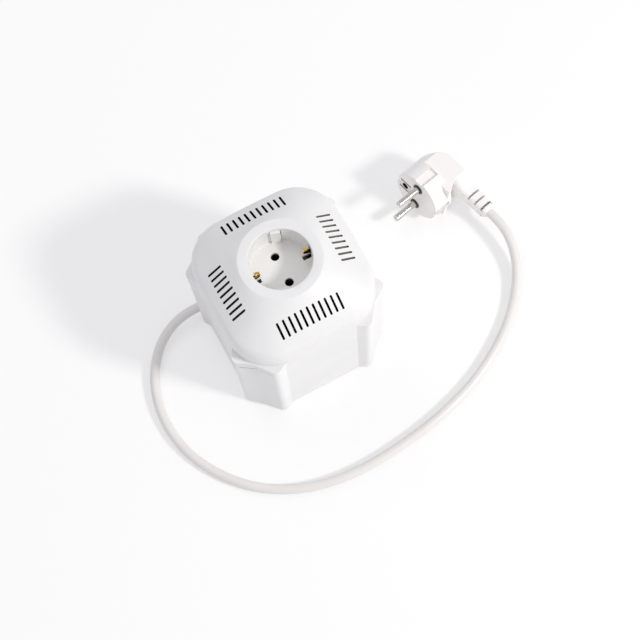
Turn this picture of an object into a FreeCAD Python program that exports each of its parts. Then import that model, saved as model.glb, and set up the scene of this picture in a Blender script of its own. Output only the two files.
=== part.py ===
import FreeCAD, Part
import math
import os
from types import SimpleNamespace

import Sketcher
from FreeCAD import Placement, Rotation, Vector

# Voltage stabilizer: a squat tower with an earthed socket in its domed cover,
# an autotransformer and a relay board inside, and a short mains lead.
# Millimetres. The origin is the middle of the base, +Z up, the front faces -Y.

DRIVING_SIZES = (
    # outside of the tower
    ("tower_height", 119.0),
    ("seam_height", 76.0),
    ("flange_height", 8.5),
    ("flange_half", 49.3),
    ("flange_chamfer", 86.4),
    ("pillar_start", 24.9),
    ("pillar_angle", 28.8),
    ("pillar_round", 4.0),
    ("top_inset", 0.2),
    ("draft_inset", 1.1),
    ("flange_hollow", 3.4),
    ("base_hollow", 1.6),
    ("corner_gap", 1.4),
    ("corner_gap_depth", 1.6),
    ("corner_gap_half", 11.0),
    ("wall", 2.5),
    ("floor_thickness", 3.0),
    ("foot_lift", 0.6),
    # dome of the cover
    ("dome_half", 49.6),
    ("dome_setback", 3.1),
    ("dome_side", 21.0),
    ("dome_bulge", 0.25),
    ("dome_slope", 39.35),
    ("shoulder_share", 0.526),
    ("shoulder_limit", 8.1),
    ("waist_half", 37.8),
    ("waist_step", 15.1),
    ("waist_side", 22.0),
    ("waist_bulge", 2.75),
    ("crown_half", 26.3),
    ("crown_step", 31.8),
    ("crown_side", 16.3),
    ("crown_bulge", 5.66),
    ("crown_round", 1.2),
    ("hollow_side_share", 0.5),
    ("hollow_bulge_share", 0.05),
    ("hollow_drop_share", 0.5),
    ("hollow_crown_side_share", 0.6),
    ("hollow_crown_bulge_share", 0.2),
    # air slots of the dome and of the floor
    ("slot_width", 1.4),
    ("slot_inner", 33.5),
    ("slot_outer", 41.7),
    ("slot_pitch", 4.07),
    ("slot_slant", 0.42),
    ("slots_front", 11),
    ("slots_side", 9),
    ("floor_slot_width", 2.2),
    ("floor_slot_length", 36.0),
    ("floor_slot_pitch", 6.0),
    ("floor_slots", 9),
    # joint between cover and housing
    ("rim_depth", 3.0),
    ("rim_wall", 1.6),
    ("rim_gap", 0.3),
    ("pillar_screw_x", 41.0),
    ("pillar_screw_y", 24.0),
    ("pillar_boss", 5.5),
    ("cover_boss", 3.6),
    ("cover_boss_clear", 2.0),
    ("screw_core", 1.45),
    ("screw_hole", 1.8),
    ("screw_head", 2.9),
    ("screw_head_height", 2.4),
    ("counterbore", 3.6),
    ("counterbore_depth", 50.0),
    ("screw_bite", 10.0),
    ("screw_end_gap", 0.4),
    ("pilot_web", 0.8),
    ("gap", 0.2),
    # socket
    ("mouth_radius", 19.75),
    ("mouth_round", 0.8),
    ("recess_depth", 17.5),
    ("recess_floor", 2.5),
    ("recess_wall", 1.5),
    ("insert_rim", 3.2),
    ("insert_rim_height", 2.5),
    ("guide_width", 6.2),
    ("guide_depth", 1.8),
    ("guide_turn", 17.0),
    ("guide_drop", 0.3),
    ("pin_spacing", 19.0),
    ("pin_hole", 2.75),
    ("window_width", 3.0),
    ("window_height", 14.3),
    ("window_reach", 6.8),
    ("window_clear", 1.4),
    ("ear_place", 20.5),
    ("ear_radius", 4.0),
    ("ear_thickness", 3.0),
    ("ear_drop", 13.0),
    ("ear_boss", 3.5),
    ("ear_boss_height", 5.0),
    ("insert_screw_depth", 2.0),
    ("carrier_radius", 17.4),
    ("carrier_height", 20.5),
    ("contact_outer", 3.5),
    ("contact_bore", 2.45),
    ("contact_drop", 3.0),
    ("contact_height", 15.0),
    ("contact_slit", 1.0),
    ("slit_start", 3.0),
    ("sleeve_floor", 1.0),
    ("tab_length", 5.0),
    # earth contacts
    ("leaf_thickness", 0.7),
    ("leaf_width", 2.4),
    ("leaf_place", 20.55),
    ("leaf_knee", 30.3),
    ("nose_reach", 14.6),
    ("nose_height", 33.9),
    ("nose_land", 1.7),
    ("nose_slant", 1.1),
    ("nose_fold", 1.6),
    ("leaf_tip_place", 18.2),
    ("leaf_tip_rise", 0.9),
    ("strap_thickness", 1.0),
    ("strap_reach", 22.0),
    ("strap_width", 5.0),
    # transformer
    ("core_width", 66.0),
    ("core_height", 55.0),
    ("core_stack", 40.0),
    ("core_leg", 11.0),
    ("coil_build", 9.0),
    ("coil_gap", 0.3),
    ("bobbin_wall", 1.2),
    ("transformer_y", -7.0),
    ("band_width", 20.0),
    ("band_thickness", 1.2),
    ("band_foot", 9.0),
    ("band_boss_height", 5.0),
    ("band_screw_x", 39.0),
    ("band_boss", 4.0),
    # relay board
    ("board_left", -20.0),
    ("board_width", 50.0),
    ("board_bottom", 20.0),
    ("board_top_gap", 4.0),
    ("board_face", 38.0),
    ("board_thickness", 1.6),
    ("board_margin", 3.0),
    ("board_boss", 3.0),
    ("relay_width", 15.0),
    ("relay_depth", 15.5),
    ("relay_round", 1.0),
    ("board_edge", 1.5),
    ("row_gap", 2.0),
    ("fuse_row", 7.5),
    ("left_relay_x", -5.0),
    ("right_relay_x", 13.0),
    ("capacitor_x", 10.0),
    ("capacitor_length", 14.0),
    ("vent_width", 0.6),
    ("vent_depth", 0.4),
    ("chip_x", 24.2),
    ("chip_width", 6.4),
    ("chip_depth", 3.4),
    ("chip_length", 19.5),
    ("chip_lift", 7.5),
    ("terminal_x", 11.5),
    ("terminal_width", 15.0),
    ("terminal_depth", 10.0),
    ("terminal_height", 8.0),
    ("terminal_lift", 1.0),
    ("port_radius", 1.6),
    ("port_depth", 3.5),
    ("port_pitch", 5.0),
    ("fuse_x", 5.0),
    ("fuse_radius", 2.6),
    ("fuse_length", 20.0),
    ("fuse_stand", 2.0),
    ("fuse_clip_width", 3.0),
    ("fuse_clip_inset", 3.0),
    ("fuse_clip_wall", 0.6),
    # cord exit
    ("cord_radius", 3.2),
    ("cord_gap", 0.1),
    ("exit_y", 38.0),
    ("exit_z", 10.0),
    ("exit_x", -49.5),
    ("bush_inner_end", -28.0),
    ("bush_shoulder_x", -33.2),
    ("bush_shoulder", 6.2),
    ("bush_shoulder_width", 2.6),
    ("bush_neck", 4.6),
    ("bush_nose", 3.9),
    ("bush_taper_x", -43.0),
    ("clip_x", -24.0),
    ("clip_width", 6.0),
    ("clip_thickness", 1.2),
    ("clip_screw_y", 30.2),
    ("clip_boss", 3.0),
    # feet
    ("foot_radius", 6.0),
    ("foot_recess", 1.2),
    ("foot_x", 30.0),
    ("foot_y", 36.0),
    # plug
    ("plug_radius", 18.3),
    ("plug_front", 15.0),
    ("plug_depth", 34.0),
    ("plug_half_thickness", 15.4),
    ("plug_corner", 10.0),
    ("plug_corner_round", 4.0),
    ("plug_side_inset", 0.8),
    ("plug_shoulder", 4.0),
    ("plug_lip", 2.0),
    ("plug_trim", 2.2),
    ("plug_pin_radius", 2.4),
    ("plug_pin_length", 19.0),
    ("plug_pin_root", 8.0),
    ("pin_tip_round", 1.44),
    ("collar_radius", 3.7),
    ("collar_height", 0.6),
    ("collar_root", 1.5),
    ("earth_hole_place", 10.7),
    ("earth_plate", 9.4),
    ("earth_hole", 2.5),
    ("notch_width", 7.0),
    ("notch_depth", 2.0),
    ("notch_floor", 1.0),
    ("strip_width", 5.0),
    ("strip_seat", 1.6),
    ("strip_thickness", 0.7),
    ("strip_bow", 0.8),
    ("strip_foot", 2.0),
    ("strip_end_gap", 0.8),
    ("sleeve_wall", 0.8),
    ("sleeve_depth", 12.0),
    ("plate_thickness", 1.0),
    ("relief_radius", 6.3),
    ("relief_end_radius", 5.0),
    ("relief_length", 29.0),
    ("relief_depth", 28.6),
    ("relief_start", 12.0),
    ("relief_tip", 2.0),
    ("relief_slot", 1.5),
    ("relief_slots", 3),
    ("relief_slot_pitch", 5.7),
    ("relief_slot_first", 10.5),
    ("relief_slot_floor", 2.6),
    ("plug_turn", 194.9),
    ("plug_tilt", 8.0),
)

BEND_SHARE = 0.45
VOLUME_TOLERANCE = 0.01
CORNERS = ((1, 1), (1, -1), (-1, 1), (-1, -1))

# Middle line of the lead, from the nose of the bush to the plug's strain relief.
CORD_ROUTE = (
    (-49.5, 38.0, 10.0), (-58.5, 38.0, 10.0), (-69.0, 36.5, 8.0), (-80.0, 31.5, 6.0),
    (-89.0, 23.5, 4.5), (-96.5, 13.0, 3.7), (-102.0, 0.0, 3.3), (-105.0, -14.5, 3.3),
    (-105.0, -30.5, 3.3), (-101.5, -47.0, 3.3), (-94.0, -63.5, 3.3), (-83.0, -79.0, 3.3),
    (-68.5, -92.5, 3.3), (-51.0, -102.5, 3.3), (-32.0, -108.5, 3.3), (-12.5, -111.0, 3.3),
    (7.5, -111.0, 3.3), (27.5, -109.0, 3.3), (47.5, -106.0, 3.3), (67.0, -101.0, 3.3),
    (85.0, -95.0, 3.3), (101.0, -87.0, 3.3), (115.5, -78.0, 3.3), (128.5, -67.8, 3.3),
    (139.3, -56.3, 3.6), (147.3, -45.3, 5.2), (152.3, -35.0, 8.0), (154.9, -25.0, 11.6),
    (155.3, -15.5, 14.8), (154.0, -6.8, 16.2), (151.9, 1.0, 16.2),
)


class Size:
    """A number together with its formula in the sheet."""

    def __init__(self, value, formula):
        self.value = value
        self.formula = formula

    def __add__(self, other):
        other = size_of(other)
        return Size(self.value + other.value, f"({self.formula} + {other.formula})")

    def __radd__(self, other):
        return size_of(other) + self

    def __sub__(self, other):
        other = size_of(other)
        return Size(self.value - other.value, f"({self.formula} - {other.formula})")

    def __rsub__(self, other):
        return size_of(other) - self

    def __mul__(self, other):
        other = size_of(other)
        return Size(self.value * other.value, f"({self.formula} * {other.formula})")

    def __rmul__(self, other):
        return size_of(other) * self

    def __truediv__(self, other):
        other = size_of(other)
        return Size(self.value / other.value, f"({self.formula} / {other.formula})")

    def __neg__(self):
        return Size(-self.value, f"(0 - {self.formula})")


def size_of(number):
    if isinstance(number, Size):
        return number
    return Size(float(number), f"({float(number)!r})")


def root(size):
    return Size(math.sqrt(size.value), f"sqrt({size.formula})")


def tangent(angle):
    return Size(math.tan(math.radians(angle.value)), f"tan({angle.formula} * 1 deg)")


def smaller(first, second):
    return Size(min(first.value, second.value), f"min({first.formula}; {second.formula})")


def sine(angle):
    return Size(math.sin(math.radians(angle.value)), f"sin({angle.formula} * 1 deg)")


def cosine(angle):
    return Size(math.cos(math.radians(angle.value)), f"cos({angle.formula} * 1 deg)")


doc = FreeCAD.newDocument("VoltageStabilizer")
sheet = doc.addObject("Spreadsheet::Sheet", "Sizes")
sheet_names = []
nodes = []


def enter(name, content, value):
    """Writes one named row of the sheet."""
    sheet_names.append(name)
    row = len(sheet_names)
    sheet.set(f"A{row}", name)
    sheet.set(f"B{row}", content)
    sheet.setAlias(f"B{row}", name)
    return Size(value, f"Sizes.{name}")


def keep(name, size):
    """A derived size, kept in the sheet as a formula."""
    return enter(name, "=" + size.formula.replace("Sizes.", ""), size.value)


d = SimpleNamespace(**{name: enter(name, repr(value), float(value)) for name, value in DRIVING_SIZES})


def bind(thing, name, size):
    thing.setExpression(name, size_of(size).formula)


def put(thing, x, y, z):
    for axis, size in zip("xyz", (x, y, z)):
        bind(thing, f"Placement.Base.{axis}", size)


def node(thing, label):
    """A finished sub-part: its label is the name of its file."""
    thing.Label = label
    nodes.append(thing)
    return thing


def block(name, size, corner):
    thing = doc.addObject("Part::Box", name)
    for side, value in zip(("Length", "Width", "Height"), size):
        bind(thing, side, value)
    put(thing, *corner)
    return thing


def middle_block(name, size, middle_x, middle_y, bottom):
    length, width, height = (size_of(value) for value in size)
    return block(name, (length, width, height), (middle_x - length / 2, middle_y - width / 2, bottom))


def drum(name, radius, height, foot, axis="z"):
    """A cylinder whose axis points along +X, +Y or +Z from its foot."""
    thing = doc.addObject("Part::Cylinder", name)
    turns = {"x": Rotation(Vector(0, 1, 0), 90), "y": Rotation(Vector(1, 0, 0), -90), "z": Rotation()}
    thing.Placement = Placement(Vector(), turns[axis])
    bind(thing, "Radius", radius)
    bind(thing, "Height", height)
    put(thing, *foot)
    return thing


def cut(name, base, tool):
    thing = doc.addObject("Part::Cut", name)
    thing.Base = base
    thing.Tool = tool
    return thing


def join(name, pieces):
    thing = doc.addObject("Part::MultiFuse", name)
    thing.Shapes = pieces
    thing.Refine = True
    return thing


def group(name, pieces):
    thing = doc.addObject("Part::Compound", name)
    thing.Links = pieces
    return thing


def origin_part(body, role):
    return next(part for part in body.Origin.OriginFeatures if part.Role == role)


def new_body(label):
    return node(doc.addObject("PartDesign::Body", label), label)


def new_sketch(body, name, lift=0.0, plane="XY_Plane"):
    sketch = body.newObject("Sketcher::SketchObject", name)
    sketch.AttachmentSupport = (origin_part(body, plane), "")
    sketch.MapMode = "FlatFace"
    bind(sketch, "AttachmentOffset.Base.z", lift)
    return sketch


def fix(sketch, kind, *where_and_size):
    *where, size = where_and_size
    size = size_of(size)
    index = sketch.addConstraint(Sketcher.Constraint(kind, *where, size.value))
    bind(sketch, f"Constraints[{index}]", size)


def fix_point(sketch, shape, end, x, y):
    fix(sketch, "DistanceX", shape, end, x)
    fix(sketch, "DistanceY", shape, end, y)


def draw_circle(sketch, x, y, radius):
    x, y, radius = size_of(x), size_of(y), size_of(radius)
    shape = sketch.addGeometry(Part.Circle(Vector(x.value, y.value, 0), Vector(0, 0, 1), radius.value))
    fix_point(sketch, shape, 3, x, y)
    fix(sketch, "Radius", shape, radius)


def draw_polygon(sketch, points):
    points = [(size_of(x), size_of(y)) for x, y in points]
    spots = [Vector(x.value, y.value, 0) for x, y in points]
    first = None
    for index, spot in enumerate(spots):
        line = sketch.addGeometry(Part.LineSegment(spot, spots[(index + 1) % len(spots)]))
        first = line if first is None else first
        if index:
            sketch.addConstraint(Sketcher.Constraint("Coincident", line - 1, 2, line, 1))
    sketch.addConstraint(Sketcher.Constraint("Coincident", first + len(points) - 1, 2, first, 1))
    for index, (x, y) in enumerate(points):
        fix_point(sketch, first + index, 1, x, y)


def close_loop(sketch, first, spots):
    """Joins consecutive shapes end to end; an arc may run backwards."""
    ends = []
    for index, spot in enumerate(spots):
        backwards = sketch.Geometry[first + index].StartPoint.distanceToPoint(spot) > 1e-6
        ends.append((2, 1) if backwards else (1, 2))
    for index, (_, finish) in enumerate(ends):
        after = (index + 1) % len(ends)
        start = ends[after][0]
        sketch.addConstraint(Sketcher.Constraint("Coincident", first + index, finish, first + after, start))
    return ends


def draw_rectangle(sketch, left, bottom, right, top):
    draw_polygon(sketch, ((left, bottom), (right, bottom), (right, top), (left, top)))


def draw_slot(sketch, x, near, far, radius, upright=True):
    """A narrow slot with slanted corners between two distances from the middle."""
    slant = d.slot_slant
    points = ((x - radius, near + slant), (x - radius + slant, near), (x + radius - slant, near),
              (x + radius, near + slant), (x + radius, far - slant), (x + radius - slant, far),
              (x - radius + slant, far), (x - radius, far - slant))
    draw_polygon(sketch, points if upright else [(y, x) for x, y in points])


def arc_radius(half_chord, rise):
    return (half_chord * half_chord + rise * rise) / (2 * rise)


def draw_rounded_square(sketch, half, reach, side, bulge):
    """Four shallow side arcs and four corner arcs through the diagonal reach."""
    low = half - bulge
    side_radius = arc_radius(side, bulge)
    half_chord = (low - side) / math.sqrt(2)
    corner_rise = reach - (low + side) / math.sqrt(2)
    corner_radius = arc_radius(half_chord, corner_rise)
    diagonal = reach / math.sqrt(2)
    first = None
    for quarter in (0, 3, 2, 1):
        corner = ((low, -side), (half, 0.0), (low, side), (diagonal, diagonal), (side, low))
        start, crest, end, tip, following = (quarter_turned(spot, quarter) for spot in corner)
        spots = [Vector(x.value, y.value, 0) for x, y in (start, crest, end, tip, following)]
        shape = sketch.addGeometry(Part.Arc(*spots[:3]))
        sketch.addGeometry(Part.Arc(*spots[2:]))
        first = shape if first is None else first
        fix_point(sketch, shape, 1, *start)
        fix_point(sketch, shape, 2, *end)
        fix(sketch, "Radius", shape, side_radius)
        fix(sketch, "Radius", shape + 1, corner_radius)
    for index in range(8):
        after = first + (index + 1) % 8
        sketch.addConstraint(Sketcher.Constraint("Coincident", first + index, 2, after, 1))


def draw_outline(sketch, name, half, chamfer, hollow):
    """Plan of the tower: flats, slanted pillar flanks with rounded tips, hollow chamfers."""
    start, rise = d.pillar_start, tangent(d.pillar_angle)
    tip_x = keep(f"{name}_tip_x", (chamfer - half + rise * start) / (1 + rise))
    tip_y = keep(f"{name}_tip_y", chamfer - tip_x)
    flank_x, flank_y = tip_x - start, tip_y - half
    flank = keep(f"{name}_flank", root(flank_x * flank_x + flank_y * flank_y))
    middle = (chamfer - hollow) / 2
    face_x, face_y = middle - tip_x, middle - tip_y
    face = keep(f"{name}_face", root(face_x * face_x + face_y * face_y))
    turn = keep(f"{name}_turn", (flank_x * face_x + flank_y * face_y) / (flank * face))
    half_turn = keep(f"{name}_half_turn", root((1 - turn) / (1 + turn)))
    reach = keep(f"{name}_reach", d.pillar_round * half_turn)
    begin = (keep(f"{name}_begin_x", tip_x - flank_x * reach / flank),
             keep(f"{name}_begin_y", tip_y - flank_y * reach / flank))
    finish = (keep(f"{name}_finish_x", tip_x + face_x * reach / face),
              keep(f"{name}_finish_y", tip_y + face_y * reach / face))
    depth = keep(f"{name}_depth", d.pillar_round * (root(1 + half_turn * half_turn) - 1))
    lean_x, lean_y = face_x / face - flank_x / flank, face_y / face - flank_y / flank
    lean = root(lean_x * lean_x + lean_y * lean_y)
    crest = (tip_x + lean_x * depth / lean, tip_y + lean_y * depth / lean)
    corner = [((start, half), None), (begin, crest), (finish, None), ((middle, middle), None),
              (finish[::-1], crest[::-1]), (begin[::-1], None), ((half, start), None)]
    spots, crests = [], []
    for quarter in range(4):
        for spot, top in corner:
            spots.append(quarter_turned(spot, quarter))
            crests.append(quarter_turned(top, quarter) if top else None)
    points = [Vector(x.value, y.value, 0) for x, y in spots]
    first = None
    for index, top in enumerate(crests):
        after = points[(index + 1) % len(points)]
        if top:
            curve = Part.Arc(after, Vector(top[0].value, top[1].value, 0), points[index])
        else:
            curve = Part.LineSegment(points[index], after)
        shape = sketch.addGeometry(curve)
        first = shape if first is None else first
    ends = close_loop(sketch, first, points)
    for index, spot in enumerate(spots):
        fix_point(sketch, first + index, ends[index][0], *spot)
        if crests[index]:
            fix(sketch, "Radius", first + index, d.pillar_round)


def quarter_turned(spot, quarters):
    x, y = size_of(spot[0]), size_of(spot[1])
    for _ in range(quarters):
        x, y = y, -x
    return x, y


def octagon(half, chamfer):
    side = chamfer - half
    return [quarter_turned(spot, quarter) for quarter in range(4) for spot in ((side, half), (half, side))]


def pad(body, sketch, length, name, downwards=False, both_sides=False):
    feature = body.newObject("PartDesign::Pad", name)
    feature.Profile = sketch
    bind(feature, "Length", length)
    feature.Reversed = downwards
    if both_sides:
        feature.SideType = "Symmetric"
    return feature


def pocket(body, sketch, length, name, upwards=False, both_sides=False):
    """A pocket goes down from its sketch, or up; the volume has to fall."""
    doc.recompute()
    before = body.Shape.Volume
    feature = body.newObject("PartDesign::Pocket", name)
    feature.Profile = sketch
    bind(feature, "Length", length)
    feature.Reversed = upwards
    if both_sides:
        feature.SideType = "Symmetric"
    doc.recompute()
    if not body.Shape.Volume < before - 1e-3:
        raise RuntimeError(f"{name} removes nothing")
    return feature


def pattern(body, feature, axis, length, count, name):
    """Repeats a feature along an axis of its own sketch."""
    copies = body.newObject("PartDesign::LinearPattern", name)
    copies.Originals = [feature]
    copies.Direction = (feature.Profile[0], [axis])
    bind(copies, "Length", length)
    bind(copies, "Occurrences", count)
    body.Tip = copies
    return copies


def edges_at(shape, test):
    """Names of the edges whose two ends both pass the test."""
    chosen = []
    for index, edge in enumerate(shape.Edges, start=1):
        if all(test(vertex.Point) for vertex in edge.Vertexes):
            chosen.append(f"Edge{index}")
    return chosen


def round_edges(body, feature, test, radius, name):
    doc.recompute()
    chosen = edges_at(feature.Shape, test)
    if not chosen:
        raise RuntimeError(f"{name} finds no edge")
    fillet = body.newObject("PartDesign::Fillet", name)
    fillet.Base = (feature, chosen)
    bind(fillet, "Radius", radius)
    return fillet


def near(first, second):
    return abs(first - second) < 1e-4


# Heights and outlines that several pieces share.
ledge_height = d.seam_height + d.flange_height
rim_bottom = d.seam_height - d.rim_depth
floor_top = d.foot_lift + d.floor_thickness
housing_top_half = d.flange_half - d.top_inset
housing_low_half = housing_top_half - d.draft_inset
housing_top_chamfer = d.flange_chamfer - 2 * d.top_inset
housing_low_chamfer = housing_top_chamfer - 2 * d.draft_inset
cavity_half = housing_low_half - d.wall
cavity_chamfer = housing_low_chamfer - d.base_hollow - d.wall * math.sqrt(2)
slope = tangent(d.dome_slope)
slope_start = d.tower_height - slope * (d.dome_half - d.crown_half)
waist_height = d.tower_height - slope * (d.waist_half - d.crown_half)
slope_wall = d.wall / cosine(d.dome_slope)
dome_reach = d.flange_chamfer / math.sqrt(2) - d.dome_setback
waist_reach = dome_reach - d.waist_step
crown_reach = dome_reach - d.crown_step
shoulder_room = (slope_start - ledge_height) * d.shoulder_share
shoulder_round = keep("shoulder_round", smaller(shoulder_room, d.shoulder_limit))
board_height = rim_bottom - d.board_top_gap - d.board_bottom
board_top = d.board_bottom + board_height
relay_height = keep("relay_height", (board_height - d.board_edge - d.row_gap - d.fuse_row) / 2)
lower_row = d.board_bottom + d.board_edge
upper_row = lower_row + relay_height + d.row_gap
recess_bottom = d.tower_height - d.recess_depth
insert_top = d.tower_height - d.wall
insert_bottom = recess_bottom - d.recess_floor
carrier_bottom = insert_bottom - d.carrier_height
ear_bottom = d.tower_height - d.ear_drop
strap_top = carrier_bottom
strap_bottom = strap_top - d.strap_thickness
pin_y = d.pin_spacing / 2


def make_housing():
    body = new_body("housing")
    low = new_sketch(body, "housing_low_plan", d.foot_lift)
    draw_outline(low, "housing_low", housing_low_half, housing_low_chamfer, d.base_hollow)
    high = new_sketch(body, "housing_high_plan", d.seam_height)
    draw_outline(high, "housing_high", housing_top_half, housing_top_chamfer, d.flange_hollow)
    shell = body.newObject("PartDesign::AdditiveLoft", "housing_shell")
    shell.Profile = low
    shell.Sections = [high]
    shell.Ruled = True

    cavity_plan = new_sketch(body, "housing_cavity_plan", d.seam_height)
    draw_polygon(cavity_plan, octagon(cavity_half, cavity_chamfer))
    pocket(body, cavity_plan, d.seam_height - floor_top, "housing_cavity")

    bosses = new_sketch(body, "housing_boss_plan", d.foot_lift)
    for side_x, side_y in CORNERS:
        draw_circle(bosses, side_x * d.pillar_screw_x, side_y * d.pillar_screw_y, d.pillar_boss)
    pad(body, bosses, rim_bottom - d.foot_lift, "housing_bosses")

    low_bosses = new_sketch(body, "housing_low_boss_plan", d.foot_lift)
    for side in (1, -1):
        draw_circle(low_bosses, side * d.band_screw_x, d.transformer_y, d.band_boss)
    pad(body, low_bosses, d.floor_thickness + d.band_boss_height, "housing_low_bosses")

    clip_boss = new_sketch(body, "housing_clip_boss_plan", d.foot_lift)
    draw_circle(clip_boss, d.clip_x, d.clip_screw_y, d.clip_boss)
    clip_top = d.exit_z - d.cord_radius - d.cord_gap - d.clip_thickness
    pad(body, clip_boss, clip_top - d.foot_lift, "housing_clip_boss")

    board_back = d.board_face + d.board_thickness
    board_bosses = new_sketch(body, "housing_board_boss_plan", -board_back, "XZ_Plane")
    for x, z in board_screw_places():
        draw_circle(board_bosses, x, z, d.board_boss)
    pad(body, board_bosses, cavity_half + d.wall / 2 - board_back, "housing_board_bosses", downwards=True)

    holes = new_sketch(body, "housing_counterbore_plan", d.foot_lift)
    for side_x, side_y in CORNERS:
        draw_circle(holes, side_x * d.pillar_screw_x, side_y * d.pillar_screw_y, d.counterbore)
    pocket(body, holes, d.counterbore_depth, "housing_counterbores", upwards=True)
    passages = new_sketch(body, "housing_passage_plan", d.foot_lift)
    for side_x, side_y in CORNERS:
        draw_circle(passages, side_x * d.pillar_screw_x, side_y * d.pillar_screw_y, d.screw_hole)
    pocket(body, passages, rim_bottom, "housing_passages", upwards=True)

    pilots = new_sketch(body, "housing_pilot_plan", floor_top + d.band_boss_height)
    for side in (1, -1):
        draw_circle(pilots, side * d.band_screw_x, d.transformer_y, d.screw_core + d.gap / 2)
    pocket(body, pilots, d.band_boss_height + d.floor_thickness / 2, "housing_band_pilots")
    clip_pilot = new_sketch(body, "housing_clip_pilot_plan", clip_top)
    draw_circle(clip_pilot, d.clip_x, d.clip_screw_y, d.screw_core + d.gap / 2)
    pocket(body, clip_pilot, clip_top - floor_top + d.floor_thickness / 2, "housing_clip_pilot")
    board_pilots = new_sketch(body, "housing_board_pilot_plan", -board_back, "XZ_Plane")
    for x, z in board_screw_places():
        draw_circle(board_pilots, x, z, d.screw_core + d.gap / 2)
    pocket(body, board_pilots, cavity_half - board_back, "housing_board_pilots")

    exit_plan = new_sketch(body, "housing_exit_plan", d.bush_shoulder_x, "YZ_Plane")
    draw_circle(exit_plan, d.exit_y, d.exit_z, d.bush_neck + d.gap)
    pocket(body, exit_plan, d.bush_shoulder_x - d.exit_x + d.wall * 2, "housing_cord_hole")

    feet = new_sketch(body, "housing_foot_plan", d.foot_lift)
    for side_x, side_y in CORNERS:
        draw_circle(feet, side_x * d.foot_x, side_y * d.foot_y, d.foot_radius + d.gap)
    pocket(body, feet, d.foot_recess, "housing_foot_recesses", upwards=True)

    slot_plan = new_sketch(body, "housing_slot_plan", d.foot_lift)
    first_x = -d.floor_slot_pitch * (d.floor_slots - 1) / 2
    draw_slot(slot_plan, first_x, -d.floor_slot_length / 2, d.floor_slot_length / 2, d.floor_slot_width / 2)
    slot = pocket(body, slot_plan, d.floor_thickness, "housing_slot", upwards=True)
    pattern(body, slot, "H_Axis", d.floor_slot_pitch * (d.floor_slots - 1), d.floor_slots, "housing_slots")
    return body


def board_screw_places():
    left = d.board_left + d.board_margin
    right = d.board_left + d.board_width - d.board_margin
    low = d.board_bottom + d.board_margin
    high = board_top - d.board_margin
    return ((left, low), (right, low), (left, high), (right, high))


def dome_sections(body, name, inset, crown_height):
    """Sketches of the sloping part of the dome, widest first; inset is the wall, or nothing."""
    shrink = inset / slope_factor() if inset.value else inset
    bottom = slope_start if not inset.value else slope_start - (slope_wall - slope * inset)
    low = new_sketch(body, f"{name}_low", bottom)
    draw_rounded_square(low, d.dome_half - inset, dome_reach - inset,
                        d.dome_side - inset * d.hollow_side_share, d.dome_bulge)
    middle = new_sketch(body, f"{name}_waist", waist_height - shrink * d.hollow_drop_share)
    waist_inset = waist_shift(shrink)
    draw_rounded_square(middle, d.waist_half - waist_inset, waist_reach - waist_inset,
                        d.waist_side - inset * d.hollow_side_share,
                        d.waist_bulge - inset * d.hollow_bulge_share)
    high = new_sketch(body, f"{name}_crown", crown_height)
    crown_inset = crown_shift(inset, crown_height)
    draw_rounded_square(high, d.crown_half - crown_inset, crown_reach - crown_inset,
                        d.crown_side - crown_inset * d.hollow_crown_side_share,
                        d.crown_bulge - crown_inset * d.hollow_crown_bulge_share)
    return low, middle, high


def slope_factor():
    return cosine(d.dome_slope)


def waist_shift(shrink):
    """How far the inner waist moves in when its height drops by its share of the vertical wall."""
    return shrink * d.hollow_drop_share / slope


def crown_shift(inset, crown_height):
    """How far the inner crown lies inside the outer one at its own height."""
    if not inset.value:
        return inset
    return (slope_wall - (d.tower_height - crown_height)) / slope


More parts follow.
